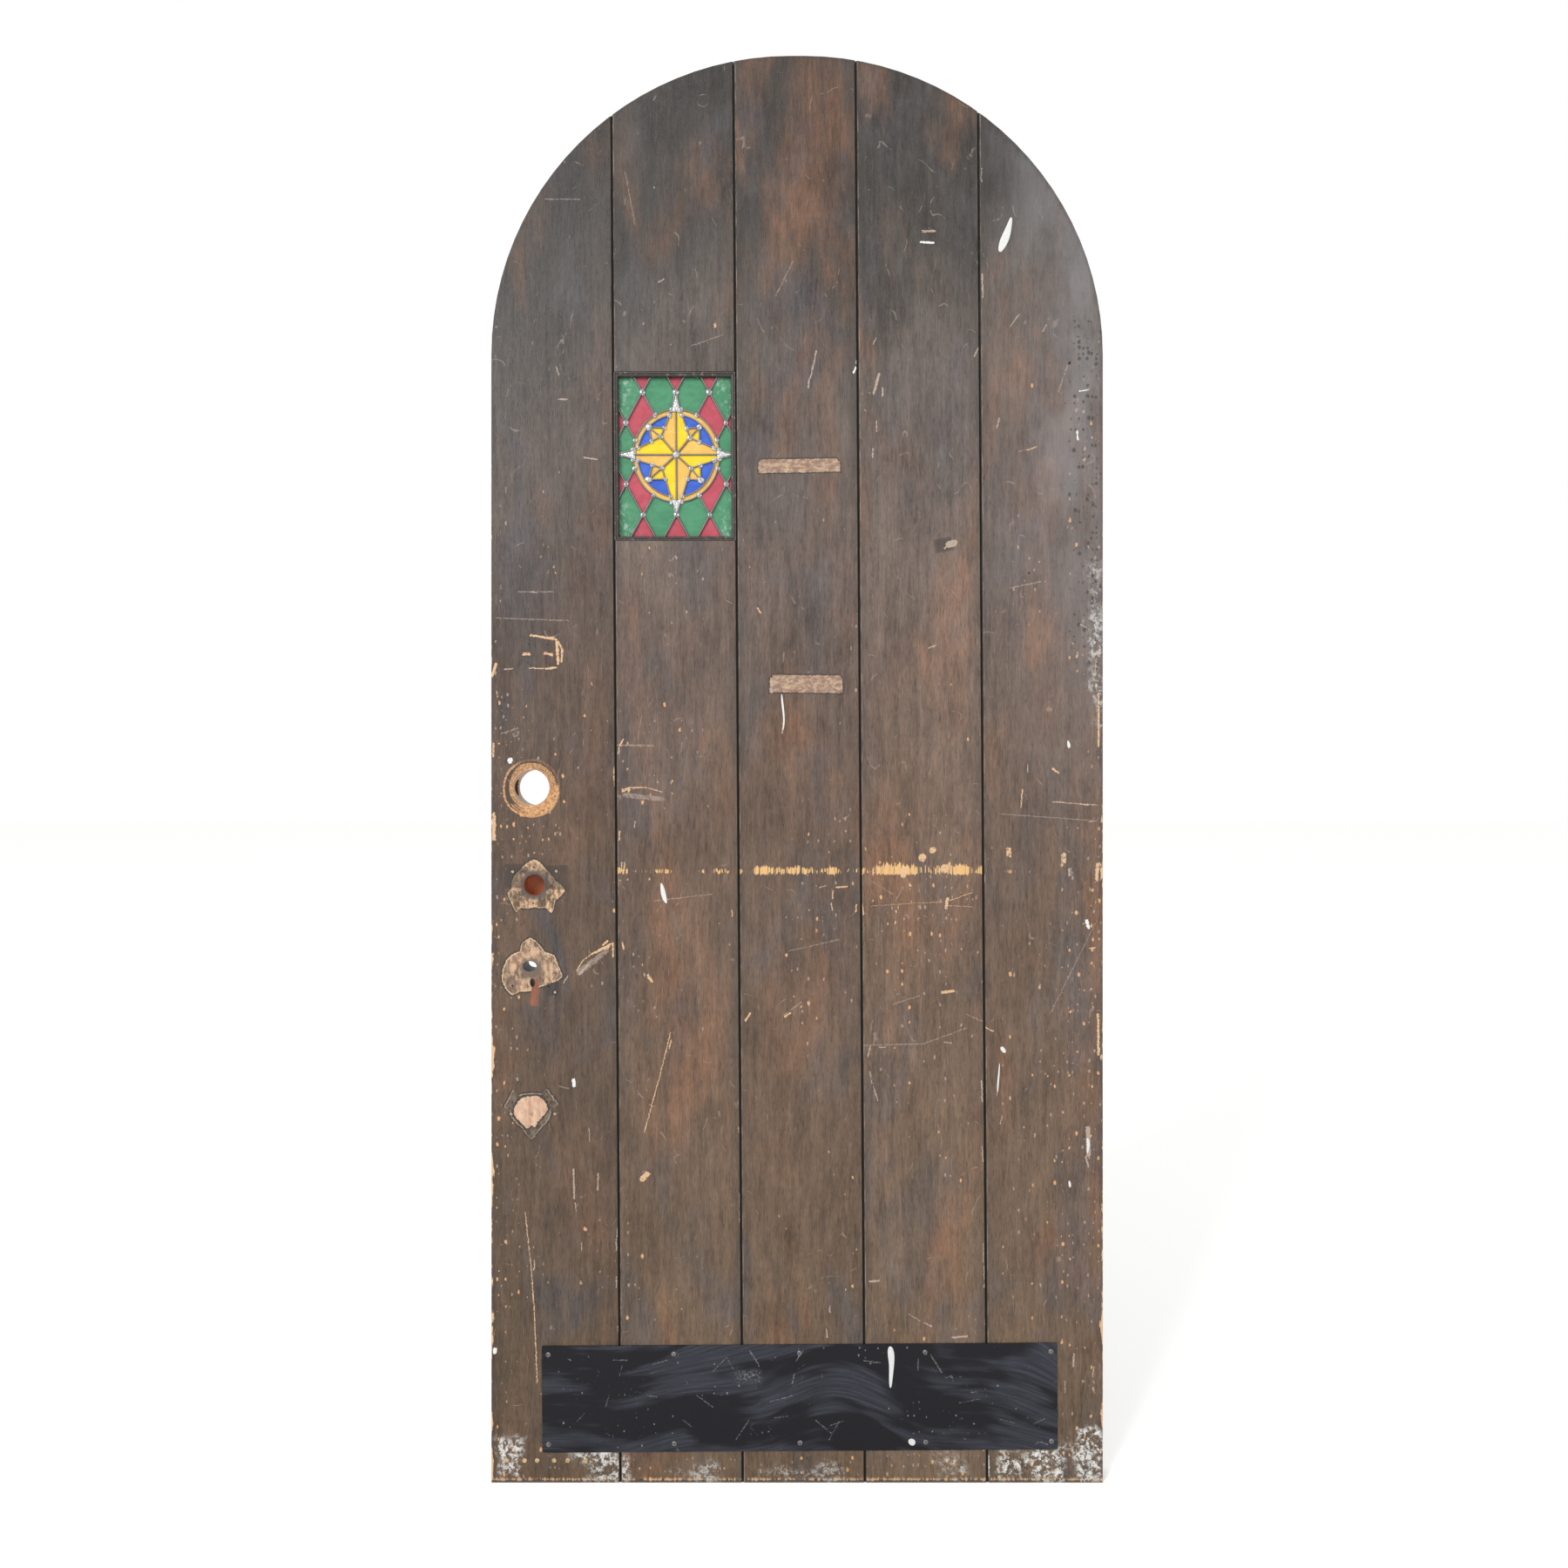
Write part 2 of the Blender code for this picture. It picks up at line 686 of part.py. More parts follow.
def make_panel(parts, cutters, window):
    """The leads as one soldered lattice, and the panes held in their slots."""
    green, red, edge = lattice_panes()
    star = star_panes()
    whole, shown = rose_quarters()
    for number, pane in enumerate(green, 1):
        pane_glass(f"green_glass_{number}", pane, "green_glass", parts, window)
    for number, pane in enumerate(red, 1):
        pane_glass(f"red_glass_{number}", pane, "red_glass", parts, window)
    yellow = ("star_upper_point_right", "star_right_point_lower",
              "star_lower_point_left", "star_left_point_upper")
    for name, pane in star.items():
        pane_glass(name, pane, "yellow_glass" if name in yellow else "orange_glass", parts, window)
    for name, pane in whole.items():
        pane_glass(name, pane, "blue_glass", parts, window)

    panes = green + red + list(star.values())
    openings = [in_window(pane.opening()) for pane in panes + shown]
    pockets = [in_window(pane.pocket()) for pane in panes + list(whole.values())]
    border = [leaning(corner) for corner in rectangle(PANEL_HALF.x, PANEL_HALF.y)]
    lattice = window_slab("lead_lattice", [border], PANEL_DEPTH, PANEL_BACK, parts, window)
    through = window_slab("pane_openings", openings, PANEL_DEPTH - OVERRUN / 2,
                          PANEL_BACK + OVERRUN / 2, cutters, window)
    slots = window_slab("glass_slots", pockets, GLASS_DEPTH - CLEARANCE,
                        GLASS_DEPTH + GLASS_THICKNESS + CLEARANCE, cutters, window)
    cut(lattice, as_cutter(through))
    cut(lattice, as_cutter(slots))
    paint(lattice, "lead")
    return edge


def screw_places():
    """The screws' places on the kick plate, from its middle."""
    reach = Vector((KICK_WIDTH / 2, KICK_HEIGHT / 2)) - SCREW_INSET
    places = []
    for row in range(SCREW_ROWS):
        for column in range(SCREW_COLUMNS):
            x = -reach.x + 2 * reach.x * column / (SCREW_COLUMNS - 1)
            z = reach.y - 2 * reach.y * row / (SCREW_ROWS - 1)
            places.append(Vector((x, z)))
    return places


def make_screw(name, spot, parts, plate_frame):
    """A round-headed screw, turned about its own axis and laid through the plate."""
    head = SCREW_HEAD_HEIGHT
    profile = [
        (0, head), (SCREW_HEAD_RADIUS * 0.55, head * 0.9), (SCREW_HEAD_RADIUS * 0.85, head * 0.6),
        (SCREW_HEAD_RADIUS, head * 0.15), (SCREW_HEAD_RADIUS, 0), (SCREW_SHANK_RADIUS, 0),
        (SCREW_SHANK_RADIUS, SCREW_POINT - SCREW_LENGTH), (0, -SCREW_LENGTH),
    ]
    mesh = bpy.data.meshes.new(name)
    mesh.from_pydata([(x, 0, z) for x, z in profile], [(i, i + 1) for i in range(len(profile) - 1)], [])
    made = place(name, mesh, parts, plate_frame)
    turn = made.modifiers.new("turned", "SCREW")
    turn.axis = "Z"
    turn.angle = math.radians(360)
    turn.steps = SCREW_SEGMENTS
    turn.render_steps = SCREW_SEGMENTS
    turn.use_merge_vertices = True
    turn.merge_threshold = MERGE_DISTANCE
    turn.use_smooth_shade = True
    seat = FRONT - 2 * CLEARANCE - KICK_THICKNESS
    made.location = (spot.x, seat, spot.y)
    made.rotation_euler = (math.radians(90), 0, 0)
    return paint(made, "screw")


def make_kick_plate(boards, parts, cutters):
    """The plate across the foot of the leaf, its screws, and their pilot holes in the boards."""
    frame = bpy.data.objects.new("kick_plate_frame", None)
    parts.objects.link(frame)
    frame.location = (across(KICK_ACROSS), 0, up(KICK_UP))
    frame.rotation_euler = (0, -KICK_TILT, 0)
    hole = SCREW_SHANK_RADIUS + CLEARANCE
    holes = [circle(spot, hole, HOLE_SEGMENTS) for spot in screw_places()]
    border = rectangle(KICK_WIDTH / 2, KICK_HEIGHT / 2)
    back = -FRONT + CLEARANCE
    plate = standing(slab("kick_plate", [border] + holes, back, back + KICK_THICKNESS, parts, frame))
    paint(plate, "black_plate")
    for number, spot in enumerate(screw_places(), 1):
        make_screw(f"kick_plate_screw_{number}", spot, parts, frame)
    depth = SCREW_LENGTH - KICK_THICKNESS - CLEARANCE
    pilots = standing(slab("pilot_holes", holes, -FRONT - depth, -FRONT + OVERRUN, cutters, frame))
    as_cutter(pilots)
    bpy.context.view_layer.update()
    for name, (number, obj) in boards.items():
        if name.endswith("upper"):
            continue
        for spot in screw_places():
            x = (frame.matrix_world @ Vector((spot.x, 0, spot.y))).x
            if across((number - 1) * BOARD_WIDTH) < x < across(number * BOARD_WIDTH):
                cut(obj, pilots)
                break


def main():
    for old in list(bpy.data.objects):
        bpy.data.objects.remove(old)
    parts = bpy.data.collections.new("arched_plank_door")
    cutters = bpy.data.collections.new("cutters")
    bpy.context.scene.collection.children.link(parts)
    bpy.context.scene.collection.children.link(cutters)

    boards = make_boards(parts, cutters)
    cut_window_opening(boards, cutters)
    cut_lock_holes(boards["board_1"][1], cutters)

    window = bpy.data.objects.new("window", None)
    parts.objects.link(window)
    window.location = window_place()
    make_beads(parts, window)
    make_panel(parts, cutters, window)

    make_kick_plate(boards, parts, cutters)


main()
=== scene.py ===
import math

import bmesh
import bpy
from mathutils import Matrix, Vector, noise


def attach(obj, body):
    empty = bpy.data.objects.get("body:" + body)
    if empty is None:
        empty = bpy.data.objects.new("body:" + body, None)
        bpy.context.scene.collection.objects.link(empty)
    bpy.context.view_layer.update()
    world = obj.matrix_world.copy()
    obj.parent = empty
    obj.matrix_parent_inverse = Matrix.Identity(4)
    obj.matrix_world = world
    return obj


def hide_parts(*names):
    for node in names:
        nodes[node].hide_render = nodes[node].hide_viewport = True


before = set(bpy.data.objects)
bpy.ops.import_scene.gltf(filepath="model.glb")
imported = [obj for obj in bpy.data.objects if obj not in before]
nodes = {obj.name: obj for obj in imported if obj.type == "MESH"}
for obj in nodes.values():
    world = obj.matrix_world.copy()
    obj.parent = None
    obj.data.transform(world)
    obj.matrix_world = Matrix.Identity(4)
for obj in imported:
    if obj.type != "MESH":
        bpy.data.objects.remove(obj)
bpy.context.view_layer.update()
print("frame loaded")

# Places on the leaf are given in millimetres: across from the latch edge and up from the foot.
leaf = {
    "width": 0.9144,
    "height": 2.1336,
    "thickness": 0.04445,
    "foot": -0.8434,
    "archRadius": 0.4468,
    "archSpring": 0.8434,       # where the arch starts
    "crownFlat": 0.0208,
    "boardWidth": 0.18288,
    "jointLean": math.radians(0.38),
    "arris": 0.0023,
}
front = -leaf["thickness"] / 2
window = {
    "middle": Vector((-0.64008, 0.6915)),
    "half": Vector((0.09144, 0.12675)),
    "leadDepth": 0.0080,        # face of the leads below the front of the leaf
    "glassDepth": 0.0091,
    "glassThickness": 0.0030,
}


def onLeaf(across, up):
    return Vector((across / 1000 - leaf["width"], 0, up / 1000 + leaf["foot"]))


# Camera, light and floor

def makeStudio():
    look = {
        "cameraPlace": (-0.47674, -1.8222, 0.20125),
        "lens": 27.64,
        "skyStrength": 1.0,
        "keyPlace": (-4.2, -5.6, 4.0),
        "keyPower": 600,
        "fillPlace": (3.2, -5.6, 0.9),
        "fillPower": 105,
        "lampSize": 2.6,
        "floorSize": 60,
        "floorHeight": leaf["foot"] - 0.0005,
        "floorGlow": 0.12,      # so that the floor's far edge melts into the sky
    }
    scene = bpy.context.scene
    camera = bpy.data.objects.new("camera", bpy.data.cameras.new("camera"))
    camera.location = look["cameraPlace"]
    camera.rotation_euler = (math.radians(90), 0, 0)
    camera.data.sensor_width = 36
    camera.data.lens = look["lens"]
    camera.data.clip_end = 200
    scene.collection.objects.link(camera)
    scene.camera = camera
    scene.view_settings.view_transform = "Standard"

    scene.world = scene.world or bpy.data.worlds.new("sky")
    scene.world.use_nodes = True
    sky = scene.world.node_tree.nodes["Background"]
    sky.inputs["Color"].default_value = (1, 1, 1, 1)
    sky.inputs["Strength"].default_value = look["skyStrength"]

    target = Vector((-leaf["width"] / 2, 0, 0.15))
    for name in ("key", "fill"):
        lamp = bpy.data.objects.new(name, bpy.data.lights.new(name, "AREA"))
        lamp.data.energy = look[name + "Power"]
        lamp.data.size = look["lampSize"]
        lamp.location = look[name + "Place"]
        lamp.rotation_euler = (target - lamp.location).to_track_quat("-Z", "Y").to_euler()
        scene.collection.objects.link(lamp)

    side = look["floorSize"] / 2
    mesh = bpy.data.meshes.new("floor")
    corners = [(x * side, y * side, look["floorHeight"]) for x, y in ((-1, -1), (1, -1), (1, 1), (-1, 1))]
    mesh.from_pydata(corners, [], [(0, 1, 2, 3)])
    floor = bpy.data.objects.new("floor", mesh)
    paint = Finish("paleFloor")
    paint.surface(color=(0.86, 0.86, 0.85, 1), roughness=0.9, glow=(1, 1, 1, 1), glowStrength=look["floorGlow"])
    mesh.materials.append(paint.material)
    scene.collection.objects.link(floor)


# Materials

def arithmetic(operation, swapped=False):
    def apply(self, other=None):
        values = [self] if other is None else [other, self] if swapped else [self, other]
        return self.finish.maths(operation, *values)
    return apply


class Signal:                   # a shader socket that takes part in sums
    def __init__(self, finish, socket):
        self.finish = finish
        self.socket = socket

    __add__ = __radd__ = arithmetic("ADD")
    __mul__ = __rmul__ = arithmetic("MULTIPLY")
    __sub__ = arithmetic("SUBTRACT")
    __rsub__ = arithmetic("SUBTRACT", swapped=True)
    __truediv__ = arithmetic("DIVIDE")
    __rtruediv__ = arithmetic("DIVIDE", swapped=True)
    __abs__ = arithmetic("ABSOLUTE")
    __or__ = arithmetic("MAXIMUM")          # where either mask is
    __and__ = arithmetic("MINIMUM")         # where both masks are
    __lt__ = arithmetic("LESS_THAN")
    __gt__ = arithmetic("GREATER_THAN")


class Finish:                   # one material and the nodes made for it
    def __init__(self, name):
        self.material = bpy.data.materials.new(name)
        self.material.use_nodes = True
        self.tree = self.material.node_tree
        self.tree.nodes.clear()

    def node(self, kind, settings=None, inputs=None, out=0):
        made = self.tree.nodes.new(kind)
        for name, value in (settings or {}).items():
            if name == "stops":
                self.setStops(made.color_ramp, value)
            else:
                setattr(made, name, value)
        for name, value in (inputs or {}).items():
            if isinstance(value, Signal):
                self.tree.links.new(value.socket, made.inputs[name])
            else:
                made.inputs[name].default_value = value
        if isinstance(out, tuple):
            return [Signal(self, made.outputs[each]) for each in out]
        return Signal(self, made.outputs[out])

    def setStops(self, ramp, stops):
        while len(ramp.elements) > 1:
            ramp.elements.remove(ramp.elements[0])
        for index, (position, value) in enumerate(stops):
            stop = ramp.elements[0] if index == 0 else ramp.elements.new(position)
            stop.position = position
            stop.color = value if hasattr(value, "__len__") else (value, value, value, 1)

    def maths(self, operation, *values, clamp=False):
        settings = {"operation": operation, "use_clamp": clamp}
        return self.node("ShaderNodeMath", settings, dict(enumerate(values)))

    def vector(self, operation, *values, out=0):
        return self.node("ShaderNodeVectorMath", {"operation": operation}, dict(enumerate(values)), out)

    def scaled(self, color, factor):
        color = color[:3] if isinstance(color, tuple) else color
        return self.node("ShaderNodeVectorMath", {"operation": "SCALE"}, {0: color, "Scale": factor})

    def place(self):
        return self.node("ShaderNodeTexCoord", out="Object")

    def axes(self, vector):
        return self.node("ShaderNodeSeparateXYZ", None, {"Vector": vector}, (0, 1, 2))

    def noise(self, vector, scale, shift=(0, 0, 0), detail=2, roughness=0.5, distortion=0):
        spread = self.node("ShaderNodeMapping", None, {"Vector": vector, "Location": shift, "Scale": scale})
        return self.node("ShaderNodeTexNoise", None, {
            "Vector": spread, "Scale": 1, "Detail": detail, "Roughness": roughness, "Distortion": distortion})

    def rise(self, value, low, high):       # 0 at low, 1 at high, smooth between
        return self.node("ShaderNodeMapRange", {"interpolation_type": "SMOOTHSTEP"}, {
            "Value": value, "From Min": low, "From Max": high, "To Min": 0, "To Max": 1})

    def ramp(self, value, stops):
        return self.node("ShaderNodeValToRGB", {"stops": stops}, {"Fac": value})

    def mix(self, factor, first, second):
        return self.node("ShaderNodeMix", {"data_type": "RGBA"}, {0: factor, 6: first, 7: second}, 2)

    def bump(self, height, distance, strength=1.0):
        return self.node("ShaderNodeBump", None, {"Strength": strength, "Distance": distance, "Height": height})

    def surface(self, **values):
        names = {
            "color": "Base Color", "roughness": "Roughness", "metallic": "Metallic", "normal": "Normal",
            "specular": "Specular IOR Level", "coat": "Coat Weight", "coatRoughness": "Coat Roughness",
            "glow": "Emission Color", "glowStrength": "Emission Strength",
        }
        shaded = self.node("ShaderNodeBsdfPrincipled", None,
                           {names[key]: value for key, value in values.items()})
        self.node("ShaderNodeOutputMaterial", None, {"Surface": shaded}, ())


def polarOutline(points):       # an outline round its middle, as stops of radius by angle
    placed = sorted((math.atan2(y, x) / (2 * math.pi) + 0.5, math.hypot(x, y)) for x, y in points)
    largest = max(radius for _, radius in placed)
    first, last = placed[0], placed[-1]
    gap = first[0] + 1 - last[0]
    seam = last[1] + (first[1] - last[1]) * (1 - last[0]) / gap
    stops = [(0.0, seam / largest)]
    stops += [(turn, radius / largest) for turn, radius in placed] + [(1.0, seam / largest)]
    return stops, largest


class WoodFinish(Finish):       # a material worn and marked layer by layer, in the leaf's own millimetres
    def __init__(self, name, seed=0.0):
        super().__init__(name)
        self.seed = seed
        self.here = self.place()
        self.x, self.y, self.z = self.axes(self.here)
        self.across = (self.x + leaf["width"]) * 1000
        self.up = (self.z - leaf["foot"]) * 1000
        face = self.node("ShaderNodeCombineXYZ", None, {"X": self.across, "Y": self.up, "Z": 0.0})
        ragged = self.node("ShaderNodeTexNoise", None, {"Vector": self.here, "Scale": 420, "Detail": 2},
                           "Color")
        ragged = self.vector("SUBTRACT", ragged, (0.5, 0.5, 0.5))
        ragged = self.vector("MULTIPLY", ragged, (4.0, 4.0, 0))
        self.face = self.vector("ADD", face, ragged)
        self.frontFace = self.rise(self.y, front + 0.0009, front + 0.0002)
        self.color = (0.1, 0.1, 0.1, 1)
        self.dug = self.frontFace * 0
        self.latest = self.dug

    # Each shape leans on the one before by next to nothing, so the renderer works them out one by one
    # and never holds the numbers of all of them at once, which it has no room for.
    def held(self, vector):
        return self.vector("MULTIPLY_ADD", self.latest, (1e-9, 1e-9, 1e-9), vector)

    def noise(self, vector, *rest, **named):
        self.latest = super().noise(self.held(vector), *rest, **named)
        return self.latest

    def cover(self, mask, tint, dug=0.0):           # lays a colour over what is there
        self.color = self.mix(mask, self.color, tint)
        if dug:
            self.dug = self.dug | mask * dug

    def stroke(self, x0, y0, x1, y1, half):         # millimetres outside the edge of a scratch
        start, run = Vector((x0, y0, 0)), Vector((x1 - x0, y1 - y0, 0))
        offset = self.vector("SUBTRACT", self.held(self.face), start)
        along = self.vector("DOT_PRODUCT", offset, run, out=1)
        share = self.maths("MULTIPLY", along, 1 / run.length_squared, clamp=True)
        self.latest = self.vector("DISTANCE", offset, self.scaled(run, share), out=1) - half
        return self.latest

    def dot(self, x, y, radius):
        return self.stroke(x, y, x + 0.1, y, radius)

    def patch(self, x, y, halfWidth, halfHeight, turn=0):       # the same for a ragged rectangle
        turned = self.node("ShaderNodeMapping", {"vector_type": "TEXTURE"}, {
            "Vector": self.held(self.face), "Location": (x, y, 0), "Rotation": (0, 0, math.radians(turn))})
        u, v, _ = self.axes(turned)
        self.latest = (abs(u) - halfWidth) | (abs(v) - halfHeight)
        return self.latest

    def offset(self, x, y):                         # sideways, upward and straight distance from a place
        away = self.vector("SUBTRACT", self.held(self.face), (x, y, 0))
        u, v, _ = self.axes(away)
        return u, v, self.vector("LENGTH", away, out=1)

    def outline(self, x, y, points):                # millimetres outside any outline round its middle
        stops, largest = polarOutline(points)
        u, v, reach = self.offset(x, y)
        turn = self.maths("ARCTAN2", v, u) / (2 * math.pi) + 0.5
        self.latest = reach - self.ramp(turn, stops) * largest
        return self.latest

    def nearest(self, distances):
        result = distances[0]
        for distance in distances[1:]:
            result = result & distance
        return result

    def chips(self, spacing, largest, share, stretch=1.0, shift=0.0):      # small chips strewn over the face
        spread = self.node("ShaderNodeMapping", None, {
            "Vector": self.held(self.face), "Location": (shift, shift, 0),
            "Scale": (1 / spacing, stretch / spacing, 0)})
        distance, drawn = self.node("ShaderNodeTexVoronoi", {"voronoi_dimensions": "2D"}, {
            "Vector": spread, "Scale": 1}, ("Distance", "Color"))
        pick, size, _ = self.axes(drawn)
        inside = self.rise(distance - (size * size + 0.12) * (largest / spacing), 0.03, -0.05)
        self.latest = inside * self.rise(share - pick, 0.0, 0.03)
        return self.latest

    def hairlines(self, scale, shift, gap):         # thin curved scratches, broken up
        field = self.noise(self.here, scale, (shift, self.seed, 2), 2, 0.5)
        broken = self.noise(self.here, (60, 60, 50), (self.seed, shift, 1), 3, 0.6)
        return self.rise(abs(field - 0.5), 0.0045, 0.0008) * self.rise(broken, gap, gap + 0.08)


woodLook = {
    "byHeight": (
        (0.00, (0.0820, 0.0535, 0.0325, 1)), (0.42, (0.0790, 0.0515, 0.0365, 1)),
        (0.64, (0.0770, 0.0560, 0.0465, 1)), (0.80, (0.0610, 0.0500, 0.0435, 1)),
        (0.90, (0.0270, 0.0235, 0.0210, 1))),
    "dark": (0.026, 0.022, 0.019, 1),
    "warm": (0.135, 0.066, 0.036, 1),
    "cold": (0.052, 0.049, 0.053, 1),
    "flank": (0.050, 0.038, 0.028, 1),
    "grooveShade": (0.009, 0.009, 0.008, 1),
    "bare": (0.430, 0.245, 0.118, 1),
    "yellowBare": (0.450, 0.295, 0.110, 1),
    "orangeBare": (0.240, 0.112, 0.048, 1),
    "paleBare": (0.400, 0.290, 0.190, 1),
    "scuffAndHighlight": (0.250, 0.195, 0.160, 1),
    "paintedSkySheen": (0.145, 0.138, 0.141, 1),
    "white": (0.440, 0.440, 0.425, 1),
    "hole": (0.006, 0.005, 0.005, 1),
    "pinkBare": (0.150, 0.094, 0.070, 1),
}


def stainedWood(wood, board):
    look, here, seed = woodLook, wood.here, wood.seed
    wood.grain = wood.noise(here, (430, 200, 46), (seed, 0, 0), 3, 0.65)
    wood.streaks = wood.noise(here, (95, 50, 8), (seed, 3, 0), 3, 0.6, 0.3)
    wood.pores = wood.rise(wood.noise(here, (900, 400, 75), (seed, 0, 0), 1), 0.57, 0.66)
    drift = wood.noise(here, (3.2, 3.2, 1.6), (seed, 0, 0), 2, 0.55)
    wood.color = wood.ramp(wood.up / (leaf["height"] * 1000) + (drift - 0.5) * 0.35, look["byHeight"])
    warm = wood.rise(wood.noise(here, (9, 9, 3.0), (seed, 40, 0), 4, 0.6, 0.5), 0.47, 0.74)
    wood.cover(warm * board["warm"], look["warm"])
    cold = wood.rise(wood.noise(here, (11, 11, 5.0), (seed, 70, 0), 4, 0.6, 0.5), 0.48, 0.70)
    wood.cover(cold * board["cold"], look["cold"])

    fine = wood.noise(here, (1100, 600, 170), (seed, 2, 0), 2, 0.6)
    mottle = wood.noise(here, (48, 48, 26), (seed, 13, 0), 4, 0.65)
    wood.blotch = wood.noise(here, (13, 13, 6), (seed, 21, 0), 3, 0.6)
    figure = wood.noise(here, (24, 20, 1.9), (seed, 9, 0), 2, 0.5, 0.6)
    rings = wood.maths("SINE", figure * 44 + wood.x * 190)
    value = (1 + (wood.grain - 0.5) * 1.1 + (fine - 0.5) * 0.6 + (wood.streaks - 0.5) * 0.85
             + (mottle - 0.5) * 0.75
             + (wood.blotch - 0.5) * 1.0 + rings * 0.03)
    wood.color = wood.scaled(wood.color, value * (1 - wood.pores * 0.30) * board["tone"])


def measuredEdges(wood):        # distances in millimetres to the joints and the leaf's edge
    lean = (wood.z - window["middle"].y) * math.tan(leaf["jointLean"])
    share = (wood.x + leaf["width"] + lean) / leaf["boardWidth"]
    wood.inner = (share > 0.5) & (share < 4.5)
    wood.besideJoint = (share - wood.maths("ROUND", share)) * (leaf["boardWidth"] * 1000)
    beyond = (abs(wood.x + leaf["width"] / 2) - leaf["crownFlat"] / 2) | 0.0
    above = (wood.z - leaf["archSpring"]) | 0.0
    wood.edge = (leaf["archRadius"] - wood.maths("SQRT", beyond * beyond + above * above)) * 1000


def wornEdges(wood, board):
    look, here, seed = woodLook, wood.here, wood.seed
    joint = abs(wood.besideJoint)
    smudge = wood.rise(joint, 22, 2) * wood.inner * wood.rise(wood.blotch, 0.40, 0.66)
    wood.cover(smudge * 0.5, look["dark"])

    fray = wood.noise(here, (240, 240, 60), (0, seed, 0), 4, 0.7)
    spread = wood.noise(here, (20, 20, 11), (seed, 8, 8), 3, 0.6)
    low = wood.rise(wood.up, 1600, 900)
    reach = wood.edge + 1.3 - (fray - 0.5) * (9 + low * 8) - wood.rise(spread, 0.45, 0.75) * board["wear"] * low
    wood.cover(wood.rise(reach + 3, 12, 1) * 0.55, look["dark"])
    wood.cover(wood.rise(reach, 1.0, -0.6) * 0.9, wood.mix(fray, look["bare"], look["paleBare"]), 1)
    foot = wood.up - (fray - 0.5) * 16
    wood.cover(wood.rise(foot, 8, 4) * 0.7, wood.mix(wood.streaks, look["bare"], look["paleBare"]), 0.7)
    wood.cover(wood.rise(wood.up + (fray - 0.5) * 14, 5.5, 3.0) * 0.9, look["dark"], 0.5)
    salt = wood.rise(wood.noise(here, (120, 120, 120), (seed, 5, 5), 5, 0.82), 0.47, 0.58)
    for x, y, halfWidth, halfHeight, amount in board.get("scraped", ()):
        zone = wood.rise(wood.patch(x, y, halfWidth, halfHeight) + (spread - 0.5) * 70, 9, -12)
        wood.cover(zone * salt * amount * wood.frontFace, look["white"], 0.4)

    # joints: painted shade in the V, deepening towards its bottom, with a broken light line on the arris that
    # faces the light, part painted highlight and part real wear
    depth = wood.rise(wood.y, front + 0.00005, front + 0.0013)
    grooveShadeMask = wood.rise(wood.y, front + 0.00008, front + 0.0003) * wood.inner * wood.rise(joint, 4.0, 3.0)
    wood.cover(grooveShadeMask * 0.95, wood.mix(depth, look["flank"], look["grooveShade"]))
    arris = leaf["arris"] * 1000
    # painted highlight mixed with wear: a stronger light line on the arris that faces the light, a fainter one
    # on the other, broken by wear noise
    line = (wood.rise(abs(wood.besideJoint - arris - 0.3), 1.1, 0.2)
            + wood.rise(abs(wood.besideJoint + arris), 0.8, 0.1) * 0.4)
    worn = wood.rise(wood.noise(here, (500, 500, 40), (3, seed, 0), 4, 0.75), 0.44, 0.62)
    wood.cover(line * worn * wood.inner * wood.frontFace * 0.55, look["scuffAndHighlight"], 0.3)


def chippedFace(wood, board):
    look, here, seed = woodLook, wood.here, wood.seed
    crowd = wood.rise(wood.noise(here, (7, 7, 5), (seed, 31, 0), 2), 0.46, 0.72) * 0.24
    crowd = crowd + wood.rise(wood.edge, 40, 4) * 0.20 + wood.rise(wood.up, 75, 20) * 0.45
    crowd = crowd * (0.15 + wood.rise(wood.up, 1750, 1150) * 0.85)
    for x, y, halfWidth, halfHeight, amount in board.get("crowds", ()):
        crowd = crowd + wood.rise(wood.patch(x, y, halfWidth, halfHeight), 18, -10) * amount
    wood.cover(wood.chips(11, 1.9, crowd * 0.75, 0.6, seed) * wood.frontFace * 0.8, look["bare"], 0.8)
    wood.cover(wood.chips(8, 1.4, crowd, 0.5, seed + 5) * wood.frontFace * 0.7, look["scuffAndHighlight"], 0.5)
    wood.cover(wood.hairlines((10, 10, 7), 3, 0.54) * wood.frontFace * 0.35, look["scuffAndHighlight"], 0.3)
    if board.get("paintedSkySheen"):
        # painted reflection of the sky: a grey sheen over the upper right of the face, broken up by cloud noise
        cloud = wood.rise(wood.noise(here, (13, 13, 7), (0, 0, seed), 5, 0.65), 0.36, 0.66)
        sheenPatch = wood.rise(wood.across, 690, 900) * wood.rise(wood.up, 950, 1650) * (0.25 + cloud * 0.75)
        wood.cover(sheenPatch * board["paintedSkySheen"], look["paintedSkySheen"])
        pits = wood.chips(6.5, 2.6, wood.rise(wood.patch(890, 1480, 18, 260), 20, -10) * 0.5, 0.8, 3)
        wood.cover(pits * wood.frontFace * 0.7, look["dark"], 0.8)


